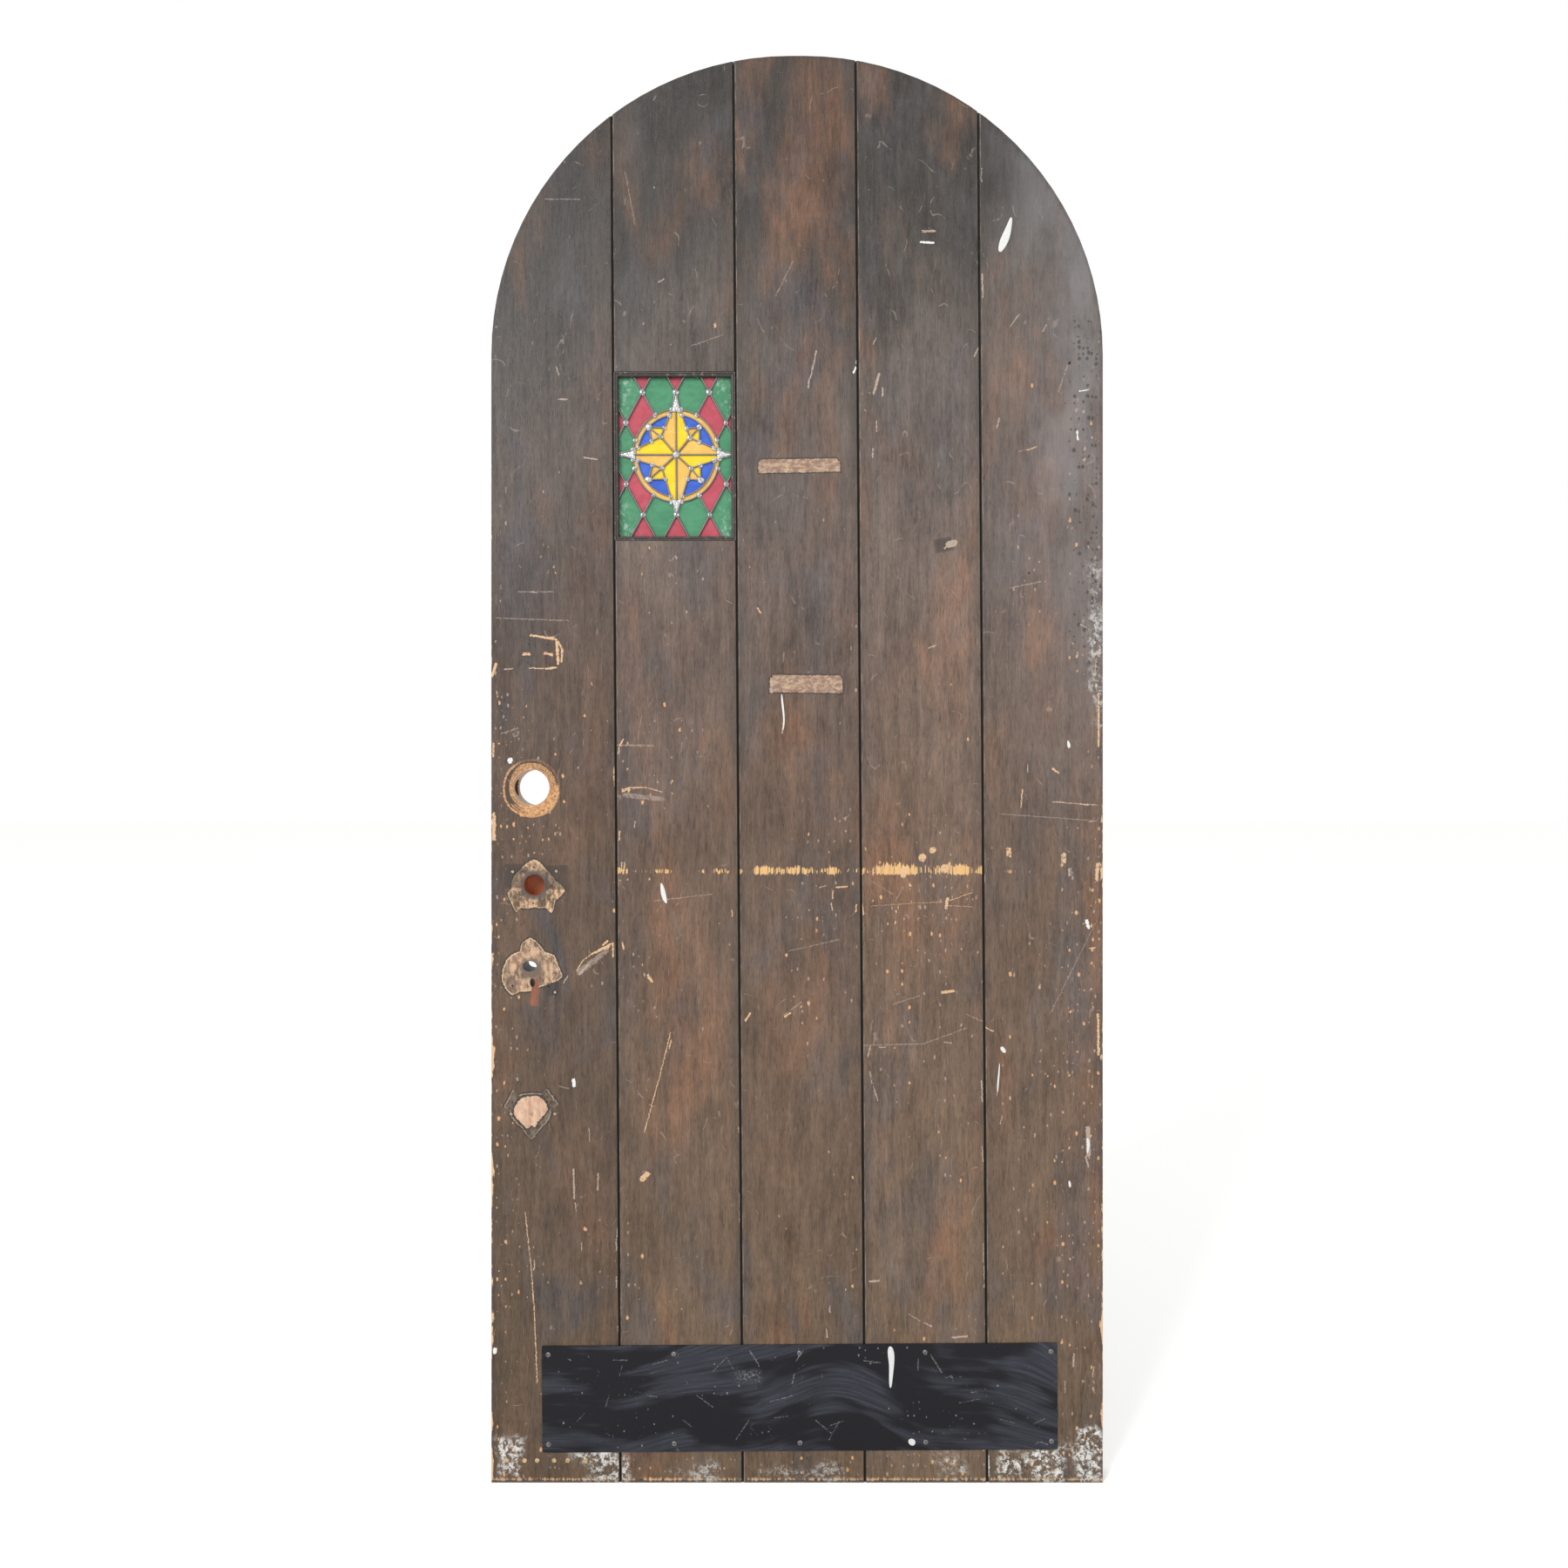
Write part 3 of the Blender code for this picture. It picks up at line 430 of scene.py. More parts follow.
def listedMarks(wood, board):
    look = woodLook
    broken = wood.noise(wood.here, (300, 300, 300), (2, 2, wood.seed), 3, 0.6)
    for kind, tint, amount, gap in (
        ("faint", look["scuffAndHighlight"], 0.5, 0.42), ("stains", look["dark"], 0.62, 0.0),
        ("pale", look["scuffAndHighlight"], 0.95, 0.34),
        ("tan", wood.mix(broken, look["bare"], look["paleBare"]), 0.90, 0.38),
        # holes: near-black dots of painted shade inside small holes
        ("white", look["white"], 1.0, 0.0), ("holes", look["hole"], 0.95, 0.0),
    ):
        shapeOf = {3: wood.dot, 5: wood.patch if kind == "stains" else wood.stroke}
        shapes = [shapeOf[len(mark)](*mark) for mark in board.get(kind, ())]
        if shapes:
            soft = 2.5 if kind == "stains" else 0.35
            mask = wood.rise(wood.nearest(shapes), soft, -0.35) * wood.frontFace * amount
            if gap:
                mask = mask * wood.rise(broken, gap - 0.08, gap + 0.06)
            wood.cover(mask, tint, 0.0 if kind == "stains" else 1.0)


def rubbedLine(wood, rub):      # short upright ticks along a level line, rubbed through to the wood
    here, seed = wood.here, wood.seed
    tick = wood.noise(here, (420, 0, 12), (0, seed, 0), 2, 0.7)
    tall = wood.noise(here, (120, 0, 0), (seed, 0, 0), 3, 0.75)
    lift = wood.noise(here, (230, 0, 0), (seed, 5, 0), 2, 0.6)
    crowded = wood.rise(wood.noise(here, (24, 0, 0), (1, seed, 0), 3, 0.6), *rub["gaps"])
    above = wood.up - rub["up"] - (lift - 0.5) * 15
    top = (tall - 0.30) * rub["height"] * 2.0 * crowded + 1.5
    mask = wood.rise(above + crowded * 4, -0.6, 0.6) * wood.rise(above - top, 0.8, -0.8)
    mask = mask * wood.rise(tick + crowded * 0.17, 0.56, 0.61) * wood.rise(crowded, 0.02, 0.25) * wood.frontFace
    wood.cover(mask * 0.95, wood.mix(wood.grain, woodLook["bare"], woodLook["yellowBare"]), 1)


def pinkPatch(wood, x, y, halfWidth, halfHeight, turn):         # a shallow bed with a woven look and a dark rim of painted shade along its sunken edge
    outside = wood.patch(x, y, halfWidth, halfHeight, turn)
    u, v, _ = wood.offset(x, y)
    corner = (abs(u) - halfWidth) + (v - halfHeight) + 5
    outside = outside | corner * 0.7
    weave = wood.noise(wood.here, (900, 900, 240), (3, 1, 1), 3, 0.7)
    lighter = wood.rise(wood.noise(wood.here, (90, 90, 160), (6, 1, 1), 4, 0.7), 0.40, 0.65)
    # dark rim: painted shade along the sunken edge of the bed
    wood.cover(wood.rise(abs(outside - 0.8), 2.2, 0.4) * wood.frontFace * 0.75, woodLook["dark"], 0.6)
    bed = wood.mix(lighter * 0.6, woodLook["pinkBare"], woodLook["paleBare"])
    wood.cover(wood.rise(outside, 0.4, -0.4) * wood.frontFace, wood.scaled(bed, 0.55 + weave * 0.9), 0.8)


def addScar(wood, scar):        # the print of a removed escutcheon
    here, seed, look = wood.here, wood.seed, woodLook
    outside = wood.outline(*scar["middle"], scar["points"])
    _, _, reach = wood.offset(*scar["middle"])
    inside = wood.rise(outside, 0.5, -0.5) * wood.frontFace
    speckle = wood.rise(wood.noise(here, (170, 170, 90), (seed, 1, 1), 4, 0.75), 0.38, 0.60)
    rust = wood.rise(wood.noise(here, (75, 75, 50), (seed, 2, 1), 4, 0.65), 0.47, 0.60)
    bare = wood.mix(speckle, scar["stain"], scar["wood"])
    bare = wood.mix(rust * scar["dirt"], bare, look["dark"])
    bare = wood.mix(wood.rise(reach, scar["core"] + 5, scar["core"] - 4), bare, scar["coreColor"])
    bare = wood.mix(wood.rise(wood.streaks, 0.40, 0.72) * scar["veins"], bare, scar["veinColor"])
    wood.cover(inside, bare, 1)
    wood.cover(wood.rise(abs(outside - 1.6), 2.4, 0.6) * wood.frontFace * 0.8, look["dark"])
    wood.cover(wood.rise(abs(outside + 0.3), 1.1, 0.1) * wood.frontFace * scar["rim"], look["paleBare"])


def addBore(wood, x, y):        # rings gouged round the deadbolt's bore
    look, here = woodLook, wood.here
    u, v, reach = wood.offset(x, y)
    mixed = wood.noise(here, (260, 260, 260), (5, 5, 5), 4, 0.7)
    tan = wood.scaled(wood.mix(wood.rise(mixed, 0.30, 0.70), look["orangeBare"], look["bare"]),
                      0.70 + mixed * 0.5)
    innerEdge = 33.5 + wood.rise(u + v, -20, 20) * 3.6
    outerLine = 41.0 + wood.rise(v, 5, -32) * 2.6
    inner = wood.rise(reach - innerEdge, 0.8, -0.6)
    grooves = wood.rise(wood.maths("SINE", reach * 2.3 + u * 0.12 + mixed * 2), -0.95, -0.2)
    outer = wood.rise(abs(reach - outerLine) - 1.3, 0.7, -0.5) * (1 - wood.rise(u + v, 0, 26) * 0.75)
    filled = (wood.rise(reach - outerLine, 1.0, -0.6) * wood.rise(u * 0.7 - v, 18, 27)
              * wood.rise(mixed, 0.32, 0.44))
    below = (wood.rise(wood.maths("SINE", reach * 1.9 + mixed * 5), -0.2, 0.5) * wood.rise(v, -22, -28)
             * wood.rise(reach - outerLine, 1, -0.6))
    band = wood.rise(reach - outerLine, 1.5, 0.0)
    wood.cover(band * wood.frontFace * 0.55, look["dark"], 0.3)
    wood.cover((inner * (0.20 + grooves * 0.80) | outer | filled | below) * wood.frontFace * 0.95, tan, 1)
    wall = wood.rise(reach, 28.5, 27.5) * wood.rise(wood.y, front - 0.0002, front + 0.0004)
    cream = wood.mix(wood.rise(v, 0, -20), look["bare"], look["paleBare"])
    wood.cover(wall * 0.9, wood.scaled(cream, 0.5 + mixed * 0.8))


def boardFinish(name, board):
    wood = WoodFinish(name + "Oak", 7.3 * board["seed"])
    measuredEdges(wood)
    stainedWood(wood, board)
    chippedFace(wood, board)
    wornEdges(wood, board)
    if "rub" in board:
        rubbedLine(wood, board["rub"])
    for bed in board.get("beds", ()):
        pinkPatch(wood, *bed)
    if "bore" in board:
        addBore(wood, *board["bore"])
    # each hollow's wall takes its listed colour; the near-black one is painted shade inside a through hole
    for x, y, radius, tint in board.get("hollows", ()):
        _, _, reach = wood.offset(x, y)
        within = (wood.rise(wood.y, front + 0.0003, front + 0.0014)
                  * wood.rise(wood.y, -front - 0.0003, -front - 0.0014))
        wood.cover(wood.rise(reach, radius + 0.6, radius - 0.6) * within, tint)
    for scar in board.get("scars", ()):
        addScar(wood, scar)
    for x, y, halfWidth, halfHeight, turn, tint in board.get("splinters", ()):
        mask = wood.rise(wood.patch(x, y, halfWidth, halfHeight, turn), 0.8, -0.8) * wood.frontFace
        wood.cover(mask, wood.scaled(tint, 0.4 + wood.grain * 1.2), 0.6)
    listedMarks(wood, board)
    height = (wood.grain * 0.5 + wood.streaks * 0.35 - wood.pores * 0.45) * 0.00022
    gloss = 0.42 + (wood.blotch - 0.5) * 0.30 + wood.dug * 0.35
    wood.surface(color=wood.color, roughness=gloss, normal=wood.bump(height, 1.0, 0.9), specular=0.20)
    return wood.material


darkVein = (0.030, 0.026, 0.024, 1)
boards = {                      # looks, and marks in millimetres: strokes from point to point with half a width
    "board_1": {
        "seed": 1, "tone": 0.80, "warm": 0.40, "cold": 0.65, "paintedSkySheen": 0, "wear": 7,
        "tan": [
            (50.7, 404, 59.9, 318, 0.5), (59.9, 318, 64.3, 257, 0.6), (64.3, 257, 68.6, 150, 0.6),
            (63, 1266.5, 79, 1263.5, 1), (79, 1263.5, 93, 1263.5, 1.2), (93, 1263.5, 101, 1256.5, 1.2),
            (101, 1256.5, 106, 1246, 1.2), (106, 1246, 105, 1228, 1.5), (97, 1219, 87, 1217, 1.2),
            (87, 1217, 57, 1218, 0.7), (1, 1206, 7, 1224, 2.1), (3, 1105, 3, 1086, 1.4),
            (4, 1000, 4, 962, 2.6), (184, 1071, 184, 1042, 0.6), (199, 1145, 193, 1112, 0.7),
            (128, 766, 137, 781, 0.7), (137, 781, 151, 791, 0.7), (151, 791, 180, 806, 1.3),
            (100, 1225, 98, 1258, 2), (96, 1261, 59, 1267, 1.4), (176, 802, 157, 793, 1.3),
            (91, 1238, 80, 1240, 2), (182, 786, 182, 807, 1), (57, 1239, 48, 1239, 2),
            (174, 810, 167, 804, 1.3), (183, 1053, 183, 1066, 0.5)],
        "pale": [
            (108, 747, 114, 757, 0.8), (124, 425, 123, 468, 1.2), (132, 760, 145, 775, 1.6),
            (159, 438, 160, 462, 0.9), (158, 1530, 139, 1533, 0.9), (188, 367, 189, 381, 1.2),
            (101, 1620, 114, 1620, 0.9), (92, 1219, 81, 1217, 1.1), (187, 292, 187, 308, 0.7),
            (187, 348, 187, 364, 0.7), (32, 1217, 20, 1216, 0.9), (147, 510, 146, 530, 0.5),
            (65, 321, 64, 332, 0.9), (101, 1656, 97, 1669, 0.7), (127, 406, 125, 419, 0.5),
            (191, 223, 189, 234, 0.7), (68, 1331, 59, 1332, 0.7), (135, 347, 135, 358, 0.6)],
        "faint": [
            (5, 1293, 116, 1289, 0.7), (40, 1332, 92, 1332, 0.9), (79, 1919, 132, 1919, 0.7),
            (132, 764, 153, 780, 4.5), (153, 780, 172, 795, 3.5), (15, 1120, 40, 1128, 0.8)],
        "white": [
            (28, 1079.3, 28.3, 1080.5, 3.6), (5, 195, 5.5, 199, 3), (227, 954, 228, 955, 1.2),
            (124, 594, 123, 602, 2.4)],
        "holes": [
            (55.6, 1254.4, 1.1), (82.6, 1253.4, 1.1), (54.9, 1226.1, 1.1), (81.9, 1225.9, 1.1),
            (63.3, 920.3, 1.3), (62.5, 866.2, 1.3), (31.7, 743.2, 1.4), (85.7, 741.7, 1.5), (36.9, 567.4, 1.4),
            (83.4, 569.7, 1.4), (31.8, 913.6, 3.4), (97.3, 914.4, 3.4), (29.7, 551.1, 3.3), (95.1, 551.2, 3.3),
            (95.3, 733.3, 3.8)],
        "bore": (60.0, 1039.5),
        # the second hollow's near-black is painted shade inside the through hole
        "hollows": [(64.2, 893.7, 18, (0.270, 0.075, 0.028, 1)), (57.3, 771.7, 10.5, (0.020, 0.018, 0.017, 1))],
        "splinters": [(65, 733, 5.5, 20, -4, (0.150, 0.058, 0.034, 1))],
        "crowds": [(60, 985, 50, 45, 0.55), (18, 600, 18, 560, 0.30), (25, 1110, 30, 70, 0.45)],
        "scraped": [(28, 34, 20, 30, 1.0), (140, 41, 26, 5, 0.9), (178, 22, 28, 20, 0.8)],
        "scars": [
            {"middle": (64.5, 893.9), "wood": (0.380, 0.250, 0.150, 1), "stain": (0.120, 0.070, 0.045, 1),
             "dirt": 0.75, "core": 21, "coreColor": (0.060, 0.052, 0.050, 1), "veins": 0.0,
             "veinColor": darkVein, "rim": 0.6,
             "points": [(-0.5, 38.0), (13.7, 26.4), (23.7, 14.7), (32, 4.7), (45.4, -7.8), (30.4, -23.7),
                        (25.4, -42), (17, -33.7), (0.3, -32.7), (-19.7, -33.7), (-27.2, -40.4), (-33.9, -27),
                        (-39.7, -12), (-33.9, -5.3), (-31.4, 9.7), (-19.7, 23), (-9.7, 33)]},
            {"middle": (59.8, 768.5), "wood": (0.350, 0.235, 0.150, 1), "stain": (0.150, 0.092, 0.062, 1),
             "dirt": 0.60, "core": 15, "coreColor": (0.100, 0.072, 0.058, 1), "veins": 0.3,
             "veinColor": darkVein, "rim": 0.9,
             "points": [(-0.8, 45.9), (11.7, 35), (20, 24.2), (33.4, 20), (39.2, 5), (45.9, -11.7), (40, -17.5),
                        (25.9, -21.7), (15, -25.9), (1.7, -31.7), (-16.7, -33.4), (-28.4, -39.2), (-35, -33.4),
                        (-42.5, -20), (-40, 5), (-33.4, 16.7), (-16.7, 25), (-13.3, 38.4)]},
            {"middle": (59.9, 551.0), "wood": (0.115, 0.085, 0.064, 1), "stain": (0.040, 0.030, 0.025, 1),
             "dirt": 0.5, "core": 0, "coreColor": darkVein, "veins": 0.0,
             "veinColor": darkVein, "rim": 0.45,
             "points": [(-27, 36.1), (-18.8, 27.9), (-7.1, 30.2), (4.6, 30.8), (16.2, 29.7), (22.7, 37.8),
                        (28.5, 30.8), (33.7, 22.7), (40.2, 15.1), (34.9, 10.4), (28.5, 7.5), (27.9, -1.9),
                        (24.4, -10), (16.2, -17), (9.2, -26.4), (-0.1, -37.5), (-7.1, -29.9), (-13, -20.6),
                        (-22.3, -12.4), (-29.3, -4.2), (-31.6, 5.1), (-41, 11), (-36.3, 18), (-31.6, 26.2)]},
            {"middle": (59.9, 551.0), "wood": (0.430, 0.290, 0.205, 1), "stain": (0.330, 0.215, 0.145, 1),
             "dirt": 0.10, "core": 0, "coreColor": darkVein, "veins": 0.5,
             "veinColor": (0.210, 0.105, 0.070, 1), "rim": 0.3,
             "points": [(-20, 19.2), (-11.8, 25), (-0.1, 26.2), (9.2, 27.3), (16.2, 22.7), (21.5, 16.8),
                        (24.4, 7.5), (20.9, 1.6), (16.2, -3), (9.2, -11.2), (4.6, -19.4), (-0.1, -15.9),
                        (-7.1, -21.7), (-11.8, -15.9), (-18.8, -8.9), (-25.2, -1.9), (-25.8, 7.5),
                        (-22.3, 14.5)]},
        ],
        "stains": [(33, 907, 12, 17, 0), (98, 905, 16, 17, 0), (92, 738, 9, 9, 0)],
    },
    "board_2_upper": {
        "seed": 2, "tone": 0.95, "warm": 0.40, "cold": 0.45, "paintedSkySheen": 0, "wear": 2,
        "pale": [(250, 1795, 258, 1800, 0.7)],
        "faint": [(200, 1960, 215, 1880, 0.6), (300, 1700, 345, 1716, 0.6)],
        "crowds": [(280, 1700, 60, 60, 0.05)],
    },
    "board_2_lower": {
        "seed": 2.4, "tone": 1.0, "warm": 0.65, "cold": 0.45, "paintedSkySheen": 0, "wear": 2,
        "tan": [
            (226, 454, 233, 461, 4), (229, 524, 253, 612, 0.6), (253, 612, 268, 673, 0.6),
            (191, 1102, 244, 1101, 0.2), (196, 1036, 206, 1039.5, 0.6), (206, 1039.5, 226, 1040.5, 0.6),
            (226, 1040.5, 255, 1033, 0.5), (195, 915, 195, 927, 0.7), (199, 915, 199, 927, 0.8),
            (191, 1100, 191, 1090, 0.8), (240, 750, 234, 758, 2.1), (206, 1038, 196, 1033, 1.2),
            (191, 961, 192, 974, 0.9), (198, 798, 196, 807, 1.2), (231, 1040, 212, 1038, 0.6),
            (192, 1102, 197, 1111, 1), (266, 649, 269, 662, 0.7), (360, 847, 360, 856, 0.7)],
        "pale": [
            (372, 390, 372, 433, 1.3), (190, 251, 194, 263, 0.7), (370, 523, 370, 532, 0.8),
            (214, 980, 215, 989, 0.7)],
        "faint": [(177, 1103, 242, 1103, 0.6), (200, 1028, 255, 1022, 3.5), (245, 870, 330, 880, 0.6)],
        "rub": {"up": 913.3, "height": 13, "gaps": (0.37, 0.70)},
        "crowds": [(230, 1030, 40, 20, 0.35), (250, 800, 60, 120, 0.10)],
        "scraped": [(185, 22, 25, 20, 0.8), (300, 15, 40, 10, 0.5)],
    },
    "board_3": {
        "seed": 3, "tone": 0.97, "warm": 0.60, "cold": 0.50, "paintedSkySheen": 0, "wear": 2,
        "tan": [
            (532, 891, 516, 890, 1), (380, 691, 387, 702, 1.1), (447, 702, 439, 697, 1.2),
            (545, 854, 546, 864, 0.8), (510, 873, 511, 885, 0.7), (403, 1300, 398, 1308, 0.8),
            (510, 856, 508, 867, 0.6)],
        "pale": [
            (477, 1651, 486, 1692, 1), (419, 1181, 418, 1203, 1), (435, 1120, 437, 1142, 0.8),
            (474, 1637, 475, 1650, 1), (502, 217, 501, 230, 1), (506, 255, 506, 264, 1.1),
            (501, 893, 490, 890, 0.6)],
        "faint": [(451, 1826, 425, 1774, 0.7), (438, 699, 464, 719, 0.8), (445, 795, 520, 812, 0.6)],
        "white": [(542, 1660, 545, 1667, 1.4), (547, 1671, 546, 1678, 1.2)],
        "rub": {"up": 913.3, "height": 17, "gaps": (0.36, 0.58)},
        "crowds": [(500, 880, 40, 40, 0.30), (500, 780, 60, 60, 0.15)],
        "beds": [(460.5, 1520.7, 61, 10, 1), (470.8, 1194.4, 54.5, 13, -0.5)],
        "scraped": [(460, 15, 60, 8, 0.4)],
    },
    "board_4": {
        "seed": 4, "tone": 1.12, "warm": 0.60, "cold": 0.40, "paintedSkySheen": 0.25, "wear": 2,
        "tan": [
            (644.5, 934, 645, 935, 5.4), (659, 945, 661, 946.5, 4.2), (677, 917, 678, 919, 5.8),
            (616, 909, 617, 917, 4.6), (568, 862, 640, 867, 0.2), (640, 867, 675, 868, 0.3),
            (682, 869, 720, 883, 0.4), (682, 863, 720, 861, 0.3), (691, 735, 675, 733, 2.1),
            (680, 859, 682, 873, 2), (556, 850, 554, 866, 1.2)],
        "pale": [
            (684, 1403, 692, 1405, 5), (643.5, 1872, 662, 1872, 0.6), (572, 1629, 580, 1658, 1.8),
            (711, 219, 690, 217, 1.4), (734, 570, 733, 601, 1), (690, 1408, 678, 1397, 1.1),
            (579, 302, 566, 301, 1.4), (735, 480, 734, 502, 0.7), (736, 330, 736, 358, 0.6),
            (664, 1871, 645, 1870, 0.8), (585, 1625, 585, 1637, 1.2), (563, 637, 567, 653, 0.8),
            (578, 571, 571, 592, 0.6), (576, 1572, 576, 1588, 0.7), (569, 597, 566, 614, 0.7),
            (722, 1684, 728, 1696, 0.8), (570, 1534, 571, 1546, 0.9), (737, 304, 737, 324, 0.5),
            (665, 1252, 654, 1248, 0.9), (641, 242, 624, 252, 0.5), (658, 234, 648, 239, 0.8),
            (737, 292, 739, 301, 1), (688, 657, 678, 659, 0.7), (589, 651, 580, 651, 0.8),
            (571, 1702, 575, 1711, 0.7), (739, 230, 738, 244, 0.5)],
        "faint": [
            (568, 900, 600, 880, 0.5), (555, 654, 646, 656, 0.8), (646, 656, 711, 680, 0.7),
            (711, 700, 763, 677, 0.7), (640, 728, 600, 715, 0.7)],
        "white": [(661, 1854, 643, 1855, 1.5)],
        "stains": [(676, 1402, 12, 9, 10)],
        "rub": {"up": 913.3, "height": 22, "gaps": (0.27, 0.52)},
        "crowds": [(650, 850, 80, 90, 0.30), (660, 700, 60, 60, 0.15)],
        "scraped": [(690, 22, 25, 18, 0.5)],
    },
    "board_5": {
        "seed": 5, "tone": 1.02, "warm": 0.60, "cold": 0.50, "paintedSkySheen": 0.60, "wear": 6,
        "tan": [
            (772, 938, 772, 948, 1.6), (838, 1018, 906, 1013, 0.4), (905, 903, 906, 925, 2.1),
            (908, 1180, 908, 1100, 1.2), (907, 700, 908, 640, 1.6), (906, 900, 908, 926, 1.3),
            (857, 928, 857, 940, 2.1), (792, 1009, 794, 1036, 0.8), (776, 937, 775, 948, 1.8),
            (736, 896, 737, 907, 1.4), (848, 1061, 839, 1068, 1.3), (750, 675, 738, 681, 1),
            (815, 1549, 802, 1544, 0.7), (903, 800, 894, 799, 0.8), (886, 63, 888, 72, 0.8),
            (909, 1235, 902, 1241, 0.7)],
        "pale": [
            (853.7, 929, 853.7, 939, 1.7), (864, 908, 864, 917, 1.5), (893, 490, 892, 530, 3.2),
            (870, 174, 871, 192, 1.2), (735, 1773, 734, 1807, 0.9), (893, 472, 889, 487, 1.2),
            (777, 1730, 789, 1747, 0.8), (903, 1212, 904, 1230, 0.7), (756, 1577, 760, 1592, 0.8),
            (899, 158, 901, 173, 0.8), (858, 135, 858, 152, 0.6), (901, 1359, 900, 1368, 1),
            (908, 683, 908, 699, 0.6), (733, 1945, 733, 1965, 0.5), (892, 1013, 881, 1015, 0.8),
            (824, 1721, 830, 1731, 0.7), (802, 1062, 802, 1073, 0.8), (890, 1279, 881, 1283, 0.8),
            (902, 134, 899, 143, 0.8), (850, 1018, 841, 1018, 0.8), (905, 990, 894, 988, 0.6),
            (761, 537, 764, 548, 0.6), (868, 907, 867, 919, 0.5)],
        "faint": [
            (776, 1338, 822, 1347, 0.9), (789, 1542, 815, 1547, 0.7), (835, 700, 905, 840, 0.6),
            (760, 1000, 900, 990, 0.6), (861, 1670, 848, 1631, 0.8)],
        "white": [
            (743, 10, 743, 40, 1.4), (893, 830, 890, 840, 2.4), (877, 1560, 876, 1573, 1.2),
            (908, 76, 904, 73, 2.1), (892, 1634, 879, 1632, 0.7)],
        "holes": [(864.9, 1673.8, 865.1, 1674.4, 2), (803.7, 1359.9, 803.9, 1360.1, 1.5)],
        "rub": {"up": 913.3, "height": 15, "gaps": (0.52, 0.78)},
        "crowds": [(880, 500, 30, 480, 0.25), (885, 1450, 25, 260, 0.30), (820, 560, 60, 200, 0.12)],
        "scraped": [(805, 28, 45, 20, 1.0), (895, 40, 16, 40, 0.9), (905, 1250, 8, 120, 0.6)],
    },
}


def finishBoards():
    for name, board in boards.items():
        setMaterial(nodes[name], boardFinish(name, board))
        print("finished", name)


def setMaterial(obj, material):
    if not obj.data.materials:
        obj.data.materials.append(material)
    for index in range(len(obj.data.materials)):
        obj.data.materials[index] = material


def beadFinish():
    wood = WoodFinish("beadOak")
    here = wood.here
    grain = wood.noise(here, (500, 500, 500), (4, 4, 4), 4, 0.65)
    worn = wood.rise(wood.noise(here, (160, 160, 160), (1, 4, 4), 4, 0.7), 0.56, 0.68)
    color = wood.mix(grain, (0.008, 0.007, 0.006, 1), (0.044, 0.036, 0.031, 1))
    color = wood.mix(worn * 0.45, color, woodLook["scuffAndHighlight"])
    wood.surface(color=color, roughness=0.45 + worn * 0.3, normal=wood.bump(grain + worn, 0.0002), specular=0.3)
    return wood.material


def leadFinish():
    lead = Finish("oldLead")
    here = lead.place()
    dull = lead.noise(here, (300, 300, 300), (0, 0, 0), 4, 0.65)
    spots = lead.rise(lead.noise(here, (900, 900, 900), (5, 0, 0), 3, 0.7), 0.52, 0.68)
    color = lead.mix(dull, (0.110, 0.096, 0.099, 1), (0.215, 0.190, 0.194, 1))
    color = lead.mix(spots * 0.4, color, (0.30, 0.29, 0.295, 1))
    lead.surface(color=color, roughness=0.40 + dull * 0.3, metallic=0.25,
                 normal=lead.bump(dull + spots, 0.00015), specular=0.4)
    return lead.material


def solderFinish():
    tin = Finish("brightSolder")
    here = tin.place()
    lumps = tin.noise(here, (380, 380, 380), (0, 0, 0), 3, 0.6)
    dark = tin.rise(lumps, 0.54, 0.36)
    color = tin.mix(dark, (0.38, 0.39, 0.39, 1), (0.17, 0.165, 0.17, 1))
    tin.surface(color=color, roughness=0.24 + dark * 0.4, metallic=0.30, normal=tin.bump(lumps, 0.0004),
                specular=0.55)
    return tin.material


def glassFinish(name, color, pale, streak, hammered, hazy):
    glass = Finish(name)
    here = glass.place()
    x, y, z = glass.axes(here)
    swirl = glass.noise(here, (38, 38, 60), (len(name), 0, 0), 4, 0.6, 0.8)
    body = glass.mix(glass.rise(swirl, 0.30, 0.72), color, streak)
    # whitish dirt lies thicker towards the corners and the sides of the panel
    lean = (z - window["middle"].y) * math.tan(leaf["jointLean"])
    side = abs(x - window["middle"].x + lean) / window["half"].x
    top = abs(z - window["middle"].y) / window["half"].y
    rim = glass.rise(side * 0.75 + top * 0.45, 0.70, 1.10)
    cloud = glass.rise(glass.noise(here, (170, 170, 130), (2, 2, 2), 5, 0.75), 0.48, 0.66)
    body = glass.mix(rim * cloud * hazy, body, pale)
    specks = glass.rise(glass.noise(here, (900, 900, 900), (8, 2, 2), 2, 0.6), 0.64, 0.72)
    body = glass.mix(specks * 0.35 * hazy, body, (0.02, 0.02, 0.02, 1))
    ripple = glass.noise(here, (190, 190, 190), (0, 7, 0), 2, 0.5)
    glass.surface(color=body, roughness=0.16 + cloud * rim * 0.4, normal=glass.bump(ripple * hammered, 0.0004),
                  specular=0.4, coat=0.10, coatRoughness=0.12)
    return glass.material


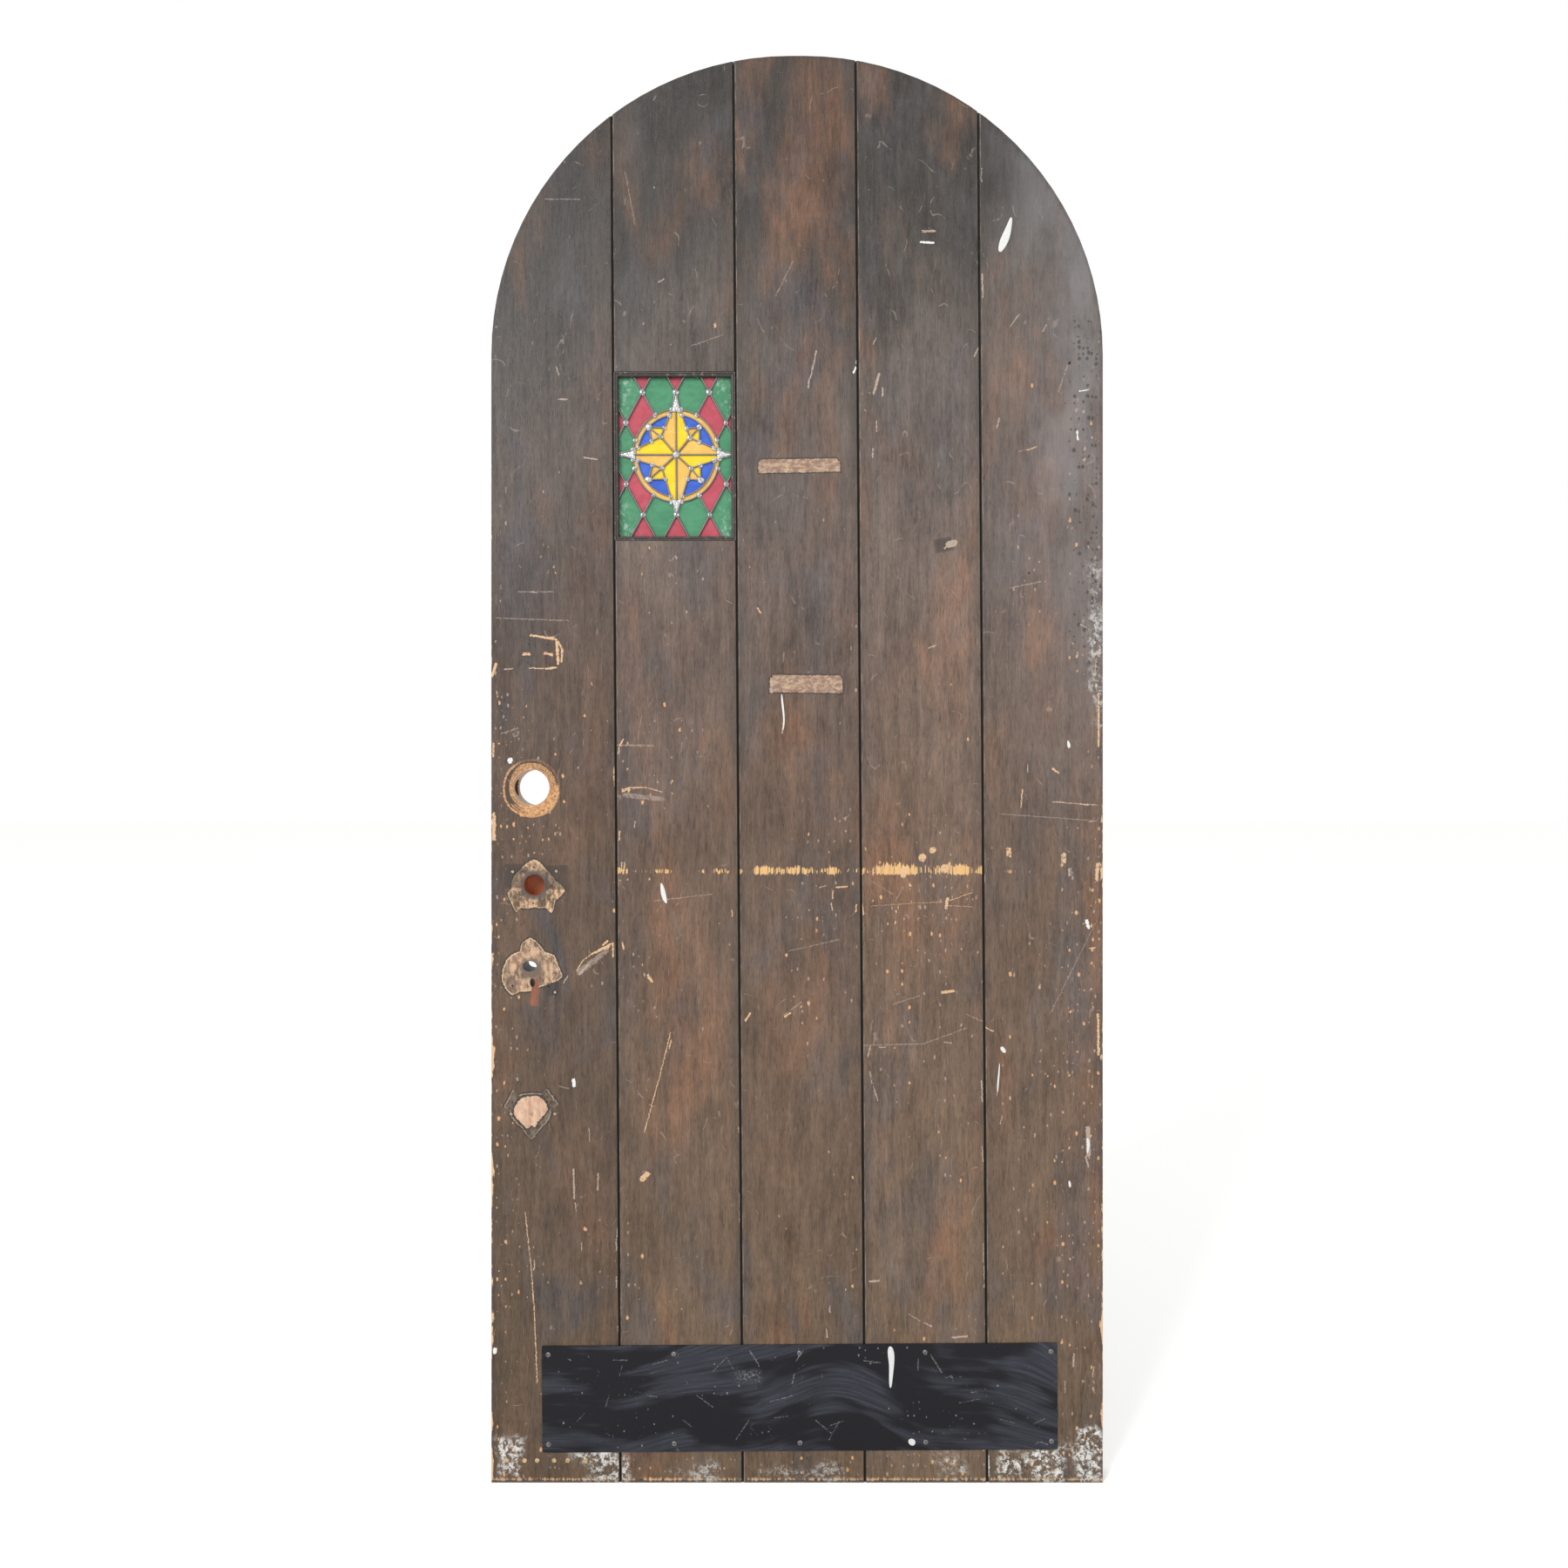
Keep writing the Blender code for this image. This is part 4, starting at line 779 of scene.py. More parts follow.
plateScratches = [
    (673, 166, 657, 191, 1.6), (401, 175, 387, 197, 1.4), (582, 180, 557, 183, 1.3), (450, 131, 417, 122, 1.1),
    (508, 75, 485, 94, 1.1), (333, 113, 307, 131, 0.9), (366, 65, 385, 94, 0.8), (263, 184, 241, 177, 1.0),
    (456, 183, 466, 198, 1.2), (450, 149, 453, 162, 1.6), (248, 129, 233, 131, 1.1), (204, 184, 182, 184, 0.8),
    (443, 100, 423, 98, 0.8), (638, 169, 638, 186, 1.0), (828, 97, 811, 89, 0.8), (526, 93, 506, 86, 0.8),
    (727, 136, 717, 136, 1.1), (171, 114, 176, 131, 0.7), (196, 176, 192, 160, 0.6), (332, 168, 352, 188, 0.7),
    (352, 188, 362, 170, 0.6), (505, 65, 520, 92, 0.7), (285, 96, 300, 84, 0.6), (128, 92, 140, 105, 0.6),
    (700, 120, 730, 126, 0.6), (760, 96, 782, 90, 0.6), (115, 186, 119, 184, 1.2), (820, 62, 832, 58, 1.2),
    (812, 57, 818, 62, 1.0),
]


def plateFinish():
    paint = WoodFinish("scuffedBlack")
    here = paint.here
    warp = paint.noise(here, (2.2, 2.2, 2.6), (1.5, 0, 0), 1, 0.5)
    warped = paint.up + (warp - 0.5) * 420
    swept = paint.node("ShaderNodeCombineXYZ", None,
                       {"X": paint.across * 0.0042, "Y": warped * 0.017, "Z": 0.0})
    sweep = paint.rise(paint.node("ShaderNodeTexNoise", None,
                                  {"Vector": swept, "Scale": 1, "Detail": 3, "Roughness": 0.55}), 0.46, 0.56)
    brushed = paint.node("ShaderNodeCombineXYZ", None,
                         {"X": paint.across * 0.011, "Y": warped * 0.26, "Z": 0.0})
    bristle = paint.node("ShaderNodeTexNoise", None,
                         {"Vector": brushed, "Scale": 1, "Detail": 4, "Roughness": 0.7})
    fine = paint.noise(here, (300, 300, 300), (0, 0, 0), 3, 0.7)
    smear = sweep * (0.30 + paint.rise(bristle, 0.34, 0.66) * 0.70)
    color = paint.mix(smear, (0.0022, 0.0021, 0.0042, 1), (0.0230, 0.0245, 0.0330, 1))
    color = paint.mix(paint.rise(bristle, 0.60, 0.74) * sweep * 0.5, color, (0.036, 0.038, 0.047, 1))
    paint.color = color
    crowd = paint.rise(paint.noise(here, (9, 9, 14), (0, 6, 0), 3), 0.46, 0.66)
    scoured = paint.rise(paint.patch(384, 160, 15, 5), 9, -6)
    paint.cover(scoured * paint.rise(fine, 0.46, 0.62) * 0.55, (0.170, 0.170, 0.175, 1), 0.5)
    paint.cover(paint.chips(9, 1.1, crowd * 0.35, 0.8, 2) * 0.6, (0.20, 0.20, 0.21, 1), 0.5)
    paint.cover(paint.hairlines((22, 22, 26), 4, 0.58) * 0.4, (0.14, 0.14, 0.15, 1), 0.4)
    lines = paint.rise(paint.nearest([paint.stroke(*line[:4], line[4] * 0.55) for line in plateScratches]),
                       0.35, -0.35)
    paint.cover(lines * paint.rise(fine, 0.36, 0.56) * 0.65, (0.140, 0.140, 0.150, 1), 1)
    paint.surface(color=paint.color, roughness=0.30 + smear * 0.25 + paint.dug * 0.2, specular=0.20,
                  normal=paint.bump(bristle * 0.25 + fine * 0.3, 0.00012))
    return paint.material


def steelFinish():
    steel = Finish("tarnishedSteel")
    here = steel.place()
    rust = steel.noise(here, (700, 700, 700), (0, 0, 0), 4, 0.7)
    color = steel.mix(steel.rise(rust, 0.40, 0.62), (0.035, 0.033, 0.034, 1), (0.20, 0.19, 0.185, 1))
    steel.surface(color=color, roughness=0.35 + rust * 0.3, metallic=0.6, normal=steel.bump(rust, 0.0002))
    return steel.material


def paintFinish():
    gloss = Finish("whitePaint")
    here = gloss.place()
    lumps = gloss.noise(here, (320, 320, 320), (0, 0, 0), 3, 0.6)
    color = gloss.mix(lumps, (0.36, 0.36, 0.345, 1), (0.45, 0.45, 0.44, 1))
    gloss.surface(color=color, roughness=0.35 + lumps * 0.2, normal=gloss.bump(lumps, 0.0003))
    return gloss.material


def studFinish(name, dark, light):
    stud = Finish(name)
    here = stud.place()
    spots = stud.noise(here, (650, 650, 650), (3, 1, 0), 4, 0.7)
    color = stud.mix(stud.rise(spots, 0.40, 0.62), dark, light)
    stud.surface(color=color, roughness=0.45 + spots * 0.3, normal=stud.bump(spots, 0.0003), specular=0.35)
    return stud.material


# Making pieces

def addPiece(name, mesh, material, replaced=()):
    mesh.name = name
    mesh.materials.clear()
    mesh.materials.append(material)
    piece = bpy.data.objects.new(name, mesh)
    bpy.context.scene.collection.objects.link(piece)
    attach(piece, "root")
    if replaced:
        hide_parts(*replaced)
    print("made", name, len(mesh.polygons), "faces")
    return piece


def linked(name, data):
    obj = bpy.data.objects.new(name, data)
    bpy.context.scene.collection.objects.link(obj)
    return obj


def baked(obj):                 # the evaluated object as a plain mesh
    bpy.context.view_layer.update()
    mesh = bpy.data.meshes.new_from_object(obj.evaluated_get(bpy.context.evaluated_depsgraph_get()))
    bpy.data.objects.remove(obj)
    return mesh


# flat work is drawn on the XY plane round the window's middle, with Z towards the front
upright = (Matrix.Translation((window["middle"].x, 0, window["middle"].y))
           @ Matrix.Rotation(math.radians(90), 4, "X"))


def depthToZ(depth):            # depth below the front face of the leaf
    return leaf["thickness"] / 2 - depth


def leaning(point):
    return Vector((point[0] - math.tan(leaf["jointLean"]) * point[1], point[1]))


class NodeTree:                 # a Geometry Nodes tree with named inputs
    def __init__(self, name, inputs):
        self.tree = bpy.data.node_groups.new(name, "GeometryNodeTree")
        self.tree.interface.new_socket("Geometry", in_out="INPUT", socket_type="NodeSocketGeometry")
        self.tree.interface.new_socket("Geometry", in_out="OUTPUT", socket_type="NodeSocketGeometry")
        self.identifiers = {}
        for label, kind in inputs.items():
            made = self.tree.interface.new_socket(label, in_out="INPUT", socket_type="NodeSocket" + kind)
            self.identifiers[label] = made.identifier
        given = self.tree.nodes.new("NodeGroupInput")
        self.given = given.outputs
        self.result = self.tree.nodes.new("NodeGroupOutput")

    def node(self, kind, settings=None, inputs=None, out=0):
        made = self.tree.nodes.new(kind)
        for name, value in (settings or {}).items():
            setattr(made, name, value)
        for name, value in (inputs or {}).items():
            if isinstance(value, bpy.types.NodeSocket):
                self.tree.links.new(value, made.inputs[name])
            elif isinstance(value, list):
                for each in value:
                    self.tree.links.new(each, made.inputs[name])
            else:
                made.inputs[name].default_value = value
        return made.outputs[out]

    def finish(self, geometry):
        real = self.node("GeometryNodeRealizeInstances", None, {"Geometry": geometry})
        named = self.node("GeometryNodeSetMaterial", None,
                          {"Geometry": real, "Material": self.given["material"]})
        self.tree.links.new(named, self.result.inputs[0])

    def run(self, obj, **values):
        modifier = obj.modifiers.new(self.tree.name, "NODES")
        modifier.node_group = self.tree
        for label, value in values.items():
            modifier[self.identifiers[label]] = value
        return baked(obj)


# The window's pattern

pattern = {
    "offset": Vector((0.0014, 0.0060)),
    "diamond": Vector((0.0251, 0.0460)),        # half width and height
    "ringMiddle": Vector((0.0, -0.0034)),
    "outerRing": Vector((0.0650, 0.0695)),
    "innerRing": Vector((0.0580, 0.0615)),
    "hub": Vector((0.0, -0.0016)),
    "pointHalfWidth": 0.0065,
    "sideStart": 0.33,
    "leadWidth": 0.0076,
    "paneInset": 0.0024,
    "glassGap": 0.0009,                         # from the middle of a lead to the glass
    "smallestPane": 0.000003,
    "quarters": {               # corner between two long points, and tip of the short one, from the hub
        "upper_right": (Vector((0.0206, 0.0252)), Vector((0.0350, 0.0410))),
        "upper_left": (Vector((-0.0229, 0.0268)), Vector((-0.0410, 0.0412))),
        "lower_left": (Vector((-0.0214, -0.0200)), Vector((-0.0420, -0.0375))),
        "lower_right": (Vector((0.0222, -0.0204)), Vector((0.0368, -0.0385))),
    },
    "arcStep": math.radians(5),
    "tipBead": 0.0026,          # spacing of the solder run along the tips of the long points
}
borderHalf = window["half"] - Vector((0.0003, 0.0003)) - Vector((1, 1)) * pattern["leadWidth"] / 2


def sides(points):
    return list(zip(points, points[1:] + points[:1]))


def area(points):
    return abs(sum(a.x * b.y - b.x * a.y for a, b in sides(points))) / 2


def clipped(points, start, end, inset=0.0):         # what lies left of the line, moved left by inset
    run = (end - start).normalized()
    left = Vector((-run.y, run.x))
    kept = []
    for here, there in sides(points):
        before = (here - start).dot(left) - inset
        after = (there - start).dot(left) - inset
        if before >= 0:
            kept.append(here)
        if before * after < 0:
            kept.append(here.lerp(there, before / (before - after)))
    return kept


def ringPoint(ring, angle):
    return pattern["ringMiddle"] + Vector((ring.x * math.cos(angle), ring.y * math.sin(angle)))


def ringDepth(point, ring):     # negative inside the ring
    offset = point - pattern["ringMiddle"]
    return (offset.x / ring.x) ** 2 + (offset.y / ring.y) ** 2 - 1


def ringAngle(point, ring):
    offset = point - pattern["ringMiddle"]
    return math.atan2(offset.y / ring.y, offset.x / ring.x)


def crossing(inner, outer, ring):       # where a line leaves the ring
    for _ in range(40):
        middle = (inner + outer) / 2
        if ringDepth(middle, ring) < 0:
            inner = middle
        else:
            outer = middle
    return inner


def arc(ring, first, last):     # ring points between two angles, the short way round
    turn = math.remainder(last - first, 2 * math.pi)
    steps = max(1, math.ceil(abs(turn) / pattern["arcStep"]))
    return [ringPoint(ring, first + turn * step / steps) for step in range(steps + 1)]


def withinRing(points, ring):
    steps = round(2 * math.pi / pattern["arcStep"])
    for start, end in sides([ringPoint(ring, pattern["arcStep"] * step) for step in range(steps)]):
        points = clipped(points, start, end)
    return points


def beyondRing(points, ring):
    kept, entry, leave = [], None, None
    for here, there in sides(points):
        if ringDepth(here, ring) >= 0:
            kept.append(here)
        if ringDepth(here, ring) * ringDepth(there, ring) >= 0:
            continue
        if ringDepth(here, ring) > 0:
            entry = len(kept)
            kept.append(crossing(there, here, ring))
        else:
            leave = len(kept)
            kept.append(crossing(here, there, ring))
    if entry is None or leave is None:
        return kept
    curve = arc(ring, ringAngle(kept[entry], ring), ringAngle(kept[leave], ring))[1:-1]
    return kept[:entry + 1] + curve + kept[entry + 1:]


class Pane:                     # bounded by the middles of the leads around it
    def __init__(self, corners, inside=None, outside=None):
        turned = sum(a.x * b.y - b.x * a.y for a, b in sides(corners)) < 0
        self.corners = corners[::-1] if turned else corners
        self.inside = inside
        self.outside = outside

    def outline(self, inset):
        points = self.corners
        for start, end in sides(self.corners):
            points = clipped(points, start, end, inset)
        spread = Vector((inset, inset))
        if self.inside and len(points) > 2:
            points = withinRing(points, self.inside - spread)
        if self.outside and len(points) > 2:
            points = beyondRing(points, self.outside + spread)
        return points


def longPoint(axis):            # where the sides of a long star point cross the outer ring
    side = Vector((-axis.y, axis.x)) * pattern["pointHalfWidth"]
    far = axis * (pattern["outerRing"].x + pattern["outerRing"].y)
    return [crossing(pattern["hub"] + shift, pattern["hub"] + shift + far, pattern["outerRing"])
            for shift in (side, -side)]


def starShoulders():
    upLeft, upRight = longPoint(Vector((0, 1)))
    rightUp, rightDown = longPoint(Vector((1, 0)))
    downRight, downLeft = longPoint(Vector((0, -1)))
    leftDown, leftUp = longPoint(Vector((-1, 0)))
    return {
        "upper_right": (upRight, rightUp), "upper_left": (upLeft, leftUp),
        "lower_left": (downLeft, leftDown), "lower_right": (downRight, rightDown),
    }


def tipLines():                 # outer sides of the long points, from the tip to inside the ring
    high = Vector((0, 2 * pattern["diamond"].y))
    lines = {}
    for quarter, (uprightEnd, levelEnd) in starShoulders().items():
        vertical, horizontal = quarter.split("_")
        tip = high if vertical == "upper" else -high
        reach = borderHalf.x if horizontal == "right" else -borderHalf.x
        sideTip = Vector((reach - pattern["offset"].x, pattern["hub"].y))
        lines[quarter] = ((tip, tip.lerp(uprightEnd, 1.3)), (sideTip, sideTip.lerp(levelEnd, 1.3)))
    return lines


def ordered(points):
    middle = sum(points, Vector((0, 0))) / len(points)
    return sorted(points, key=lambda p: math.atan2(p.y - middle.y, p.x - middle.x))


def withinBorder(points):
    low, high = -borderHalf - pattern["offset"], borderHalf - pattern["offset"]
    for start, end in sides([low, Vector((high.x, low.y)), high, Vector((low.x, high.y))]):
        points = clipped(points, start, end)
    return points


def sideOfPoint(corners, line, upper):
    tip, inner = line
    start, end = (inner, tip) if (inner.x < tip.x) == upper else (tip, inner)
    return clipped(corners, start, end)


def latticePanes():
    width, height = pattern["diamond"]
    ring = pattern["outerRing"]
    lines = tipLines()
    panes = {"green": [], "red": []}
    for row in range(3, -4, -1):
        for column in range(-4, 5):
            if (column + row) % 2 == 0 or (column == 0 and abs(row) == 1):
                continue
            middle = Vector((column * width, row * height))
            corners = [middle + Vector(step) for step in ((width, 0), (0, height), (-width, 0), (0, -height))]
            if all(ringDepth(corner, ring) < 0 for corner in corners):
                continue
            vertical = "upper" if row > 0 else "lower"
            horizontal = "right" if column > 0 else "left"
            if abs(row) == 2 and abs(column) == 1:
                tip, inner = lines[f"{vertical}_{horizontal}"][0]
                corners.insert(corners.index(min(corners, key=lambda c: (c - tip).length)), inner)
                corners = ordered(corners)
            parts = [corners]
            if row == 0:
                parts = [sideOfPoint(corners, lines[f"upper_{horizontal}"][1], True),
                         sideOfPoint(corners, lines[f"lower_{horizontal}"][1], False)]
            for part in parts:
                part = withinBorder(part)
                if len(part) < 3:
                    continue
                pane = Pane(part, outside=ring)
                shown = pane.outline(pattern["paneInset"])
                if len(shown) > 2 and area(shown) > pattern["smallestPane"]:
                    panes["green" if column % 2 else "red"].append(pane)
    return panes


def starAndRose():              # panes by colour, leads and solder places of everything inside the ring
    panes = {"yellow": [], "paleOrange": [], "blue": [], "orange": []}
    leads, joints = [], []
    hub = pattern["hub"]
    outer, inner = pattern["outerRing"], pattern["innerRing"]
    yellow = ("upper_right upright", "lower_right level", "lower_left upright", "upper_left level")
    yellowShort = ("upper_left upright", "upper_right level", "lower_left upright", "lower_right level")
    middles = {}
    for quarter, shoulders in starShoulders().items():
        corner = hub + pattern["quarters"][quarter][0]
        tip = hub + pattern["quarters"][quarter][1]
        beyond = (corner - hub).normalized() * (outer.x + outer.y) + hub
        panes["orange"].append(Pane([corner, shoulders[0], beyond, shoulders[1]], inside=outer, outside=inner))
        pastTip = hub + (tip - hub) * 1.8
        leads += [[hub, corner], [corner, tip], [tip, crossing(tip, pastTip, inner)]]
        joints += [(corner, 1.1), (tip, 1.5)]
        ends = []
        for way, shoulder in zip(("upright", "level"), shoulders):
            middleEnd = Vector((hub.x, shoulder.y)) if way == "upright" else Vector((shoulder.x, hub.y))
            middles[round(middleEnd.x, 3), round(middleEnd.y, 3)] = middleEnd
            color = "yellow" if f"{quarter} {way}" in yellow else "paleOrange"
            panes[color].append(Pane([hub, corner, shoulder, middleEnd]))
            start = corner.lerp(shoulder, pattern["sideStart"])
            color = "yellow" if f"{quarter} {way}" in yellowShort else "paleOrange"
            panes[color].append(Pane([corner, start, tip]))
            outward = (shoulder + tip - hub - hub) * 0.8 + hub
            panes["blue"].append(Pane([start, shoulder, outward, pastTip, tip], inside=inner))
            leads += [[corner, shoulder], [start, tip]]
            meets = crossing(corner, shoulder.lerp(corner, -0.5), inner)
            joints += [(start, 0.95), (shoulder, 1.15), (meets, 1.0)]
            ends.append((shoulder, meets))
        leads.append(arc(outer, ringAngle(ends[0][0], outer), ringAngle(ends[1][0], outer)))
        leads.append(arc(inner, ringAngle(ends[0][1], inner), ringAngle(ends[1][1], inner)))
    leads += [[hub, end] for end in middles.values()]
    joints.append((hub, 1.75))
    return panes, leads, joints


def latticeLeads():             # the straight leads outside the ring, and their solder places
    width, height = pattern["diamond"]
    ring = pattern["outerRing"]
    low, high = -borderHalf - pattern["offset"], borderHalf - pattern["offset"]
    leads, joints = [], []
    for column in range(-5, 6):
        for row in range(-4, 5):
            if (column + row) % 2:
                continue
            start = Vector((column * width, row * height))
            within = low.x < start.x < high.x and low.y < start.y < high.y
            if within and ringDepth(start, ring) > 0:
                joints.append((start, 1.2))
            for way in (-1, 1):
                end = Vector(((column + way) * width, (row + 1) * height))
                besideTip = {abs(row), abs(row + 1)} == {1, 2} and 0 in (column, column + way)
                part = None if besideTip else clipSegment(start, end, low, high)
                if not part:
                    continue
                first, last = part
                depths = ringDepth(first, ring), ringDepth(last, ring)
                if max(depths) <= 0:
                    continue
                if depths[0] < 0:
                    first = crossing(first, last, ring)
                    joints.append((first, 1.05))
                elif depths[1] < 0:
                    last = crossing(last, first, ring)
                    joints.append((last, 1.05))
                leads.append([first, last])
    for quarter, pair in tipLines().items():
        for (tip, _), shoulder in zip(pair, starShoulders()[quarter]):
            leads.append([tip, shoulder])
            joints += tipSolder(tip, Vector((shoulder.x * 0.35, shoulder.y)) if abs(tip.y) > abs(tip.x)
                                else Vector((shoulder.x, (shoulder.y - tip.y) * 0.35 + tip.y)))
    border = [low, Vector((high.x, low.y)), high, Vector((low.x, high.y)), low]
    leads += [[a, b] for a, b in zip(border, border[1:])]
    return leads, joints


def tipSolder(tip, end):        # a run of solder that thickens towards the ring
    count = round((end - tip).length / pattern["tipBead"])
    return [(tip.lerp(end, step / count), 0.75 + 0.30 * step / count) for step in range(1, count + 1)]


def clipSegment(start, end, low, high):
    first, last = 0.0, 1.0
    run = end - start
    for axis in (0, 1):
        for bound, sign in ((low[axis], 1), (high[axis], -1)):
            before = (start[axis] - bound) * sign
            change = run[axis] * sign
            if change > 0:
                first = max(first, -before / change)
            else:
                last = min(last, -before / change)
    return (start + run * first, start + run * last) if last - first > 0.02 else None


def inWindow(point):
    return leaning(point + pattern["offset"])


def flatCurve(name, paths, cyclic):     # paths on the window's plane as one curve object
    curve = bpy.data.curves.new(name, "CURVE")
    curve.dimensions = "3D"
    for path in paths:
        spline = curve.splines.new("POLY")
        spline.points.add(len(path) - 1)
        for point, place in zip(spline.points, path):
            place = inWindow(place)
            point.co = (place.x, place.y, 0, 1)
        spline.use_cyclic_u = cyclic
    return linked(name, curve)


def makeLeads(rosePaths, latticePaths, material):
    look = {"roseWidth": 0.0062, "latticeWidth": pattern["leadWidth"], "crown": 0.0021, "heart": 0.0012,
            "overGlass": 0.0003}
    tree = NodeTree("sweptLead", {
        "leadWidth": "Float", "crown": "Float", "heart": "Float",
        "frontHeight": "Float", "backHeight": "Float", "material": "Material"})
    given = tree.given
    upward = tree.node("GeometryNodeSetCurveNormal", {"mode": "Z_UP"}, {"Curve": given["Geometry"]})
    parts = []
    for tall, wide, lift in (
        (given["crown"], given["leadWidth"], given["frontHeight"]),
        (given["crown"], given["leadWidth"], given["backHeight"]),
        (given["frontHeight"], given["heart"], None),
    ):
        ring = tree.node("GeometryNodeCurvePrimitiveCircle", {"mode": "RADIUS"},
                         {"Resolution": 10, "Radius": 0.5})
        size = tree.node("ShaderNodeCombineXYZ", None, {"X": tall, "Y": wide, "Z": 1.0})
        ring = tree.node("GeometryNodeTransform", None, {"Geometry": ring, "Scale": size})
        swept = tree.node("GeometryNodeCurveToMesh", None,
                          {"Curve": upward, "Profile Curve": ring, "Fill Caps": True})
        if lift is not None:
            moved = tree.node("ShaderNodeCombineXYZ", None, {"Z": lift})
            swept = tree.node("GeometryNodeTransform", None, {"Geometry": swept, "Translation": moved})
        parts.append(swept)
    joined = tree.node("GeometryNodeJoinGeometry", None, {"Geometry": parts})
    tree.finish(tree.node("GeometryNodeSetShadeSmooth", None, {"Geometry": joined}))
    half = window["glassThickness"] / 2 + look["overGlass"]
    work = bmesh.new()
    for paths, width in ((rosePaths, look["roseWidth"]), (latticePaths, look["latticeWidth"])):
        work.from_mesh(tree.run(flatCurve("leadPaths", paths, False), leadWidth=width, crown=look["crown"],
                                heart=look["heart"], frontHeight=half, backHeight=-half, material=material))
    mesh = bpy.data.meshes.new("leads")
    work.to_mesh(mesh)
    work.free()
    middle = depthToZ(window["glassDepth"] + window["glassThickness"] / 2)
    mesh.transform(upright @ Matrix.Translation((0, 0, middle)))
    addPiece("leadCames", mesh, material, ["lead_lattice"])


def makeSolder(joints, material):
    look = {"radius": 0.0037, "flatness": 0.38, "lumps": 0.0014, "seed": 4}
    mesh = bpy.data.meshes.new("solderPlaces")
    frontProud, backProud = 0.0002, 0.0010
    face = depthToZ(window["leadDepth"]) + frontProud
    back = depthToZ(window["glassDepth"] + window["glassThickness"]) - backProud
    spots = [(inWindow(place), level, size) for level in (face, back) for place, size in joints]
    mesh.from_pydata([(point.x, point.y, level) for point, level, _ in spots], [], [])
    mesh.attributes.new("blobSize", "FLOAT", "POINT").data.foreach_set("value", [size for _, _, size in spots])

    tree = NodeTree("solderBlobs", {
        "radius": "Float", "flatness": "Float", "lumps": "Float", "seed": "Int", "material": "Material"})
    given = tree.given
    ball = tree.node("GeometryNodeMeshIcoSphere", None, {"Radius": given["radius"], "Subdivisions": 2})
    flat = tree.node("ShaderNodeCombineXYZ", None, {"X": 1.0, "Y": 1.0, "Z": given["flatness"]})
    ball = tree.node("GeometryNodeTransform", None, {"Geometry": ball, "Scale": flat})
    size = tree.node("GeometryNodeInputNamedAttribute", {"data_type": "FLOAT"}, {"Name": "blobSize"})
    uneven = tree.node("FunctionNodeRandomValue", {"data_type": "FLOAT_VECTOR"}, {
        "Min": (0.80, 0.80, 0.85), "Max": (1.20, 1.20, 1.15), "Seed": given["seed"]})
    scale = tree.node("ShaderNodeVectorMath", {"operation": "SCALE"}, {0: uneven, "Scale": size})
    turn = tree.node("FunctionNodeRandomValue", {"data_type": "FLOAT_VECTOR"}, {
        "Min": (0, 0, 0), "Max": (0, 0, 6.28), "Seed": given["seed"]})
    placed = tree.node("GeometryNodeInstanceOnPoints", None, {
        "Points": given["Geometry"], "Instance": ball, "Scale": scale, "Rotation": turn})
    real = tree.node("GeometryNodeRealizeInstances", None, {"Geometry": placed})
    position = tree.node("GeometryNodeInputPosition")
    ruffle = tree.node("ShaderNodeTexNoise", None, {"Vector": position, "Scale": 420, "Detail": 2})
    centred = tree.node("ShaderNodeMath", {"operation": "SUBTRACT"}, {0: ruffle, 1: 0.5})
    amount = tree.node("ShaderNodeMath", {"operation": "MULTIPLY"}, {0: centred, 1: given["lumps"]})
    normal = tree.node("GeometryNodeInputNormal")
    shift = tree.node("ShaderNodeVectorMath", {"operation": "SCALE"}, {0: normal, "Scale": amount})
    moved = tree.node("GeometryNodeSetPosition", None, {"Geometry": real, "Offset": shift})
    tree.finish(tree.node("GeometryNodeSetShadeSmooth", None, {"Geometry": moved}))
    mesh = tree.run(linked("solderPlaces", mesh), material=material, **look)
    mesh.transform(upright)
    addPiece("solderJoints", mesh, material)


def makeGlass(name, panes, material, replaced, ripple):
    look = {"grain": 160.0, "detail": 4}
    frontClearance, bothClearances = 0.0001, 0.0003
    outlines = [pane.outline(pattern["glassGap"]) for pane in panes]
    obj = flatCurve(name, [outline for outline in outlines if len(outline) > 2], True)
    tree = NodeTree("hammered_" + name,
                    {"ripple": "Float", "grain": "Float", "detail": "Int", "material": "Material"})
    given = tree.given
    fill = tree.node("GeometryNodeFillCurve", None, {"Curve": given["Geometry"]})
    fine = tree.node("GeometryNodeSubdivideMesh", None, {"Mesh": fill, "Level": given["detail"]})
    position = tree.node("GeometryNodeInputPosition")
    wave = tree.node("ShaderNodeTexNoise", None, {"Vector": position, "Scale": given["grain"], "Detail": 1})
    centred = tree.node("ShaderNodeMath", {"operation": "SUBTRACT"}, {0: wave, 1: 0.5})
    amount = tree.node("ShaderNodeMath", {"operation": "MULTIPLY"}, {0: centred, 1: given["ripple"]})
    offset = tree.node("ShaderNodeCombineXYZ", None, {"Z": amount})
    rippled = tree.node("GeometryNodeSetPosition", None, {"Geometry": fine, "Offset": offset})
    tree.finish(tree.node("GeometryNodeSetShadeSmooth", None, {"Geometry": rippled}))
    mesh = tree.run(obj, ripple=ripple, material=material, **look)
    mesh.transform(upright @ Matrix.Translation((0, 0, depthToZ(window["glassDepth"]) - frontClearance)))
    thicken(mesh, window["glassThickness"] - bothClearances)
    addPiece(name, mesh, material, replaced)


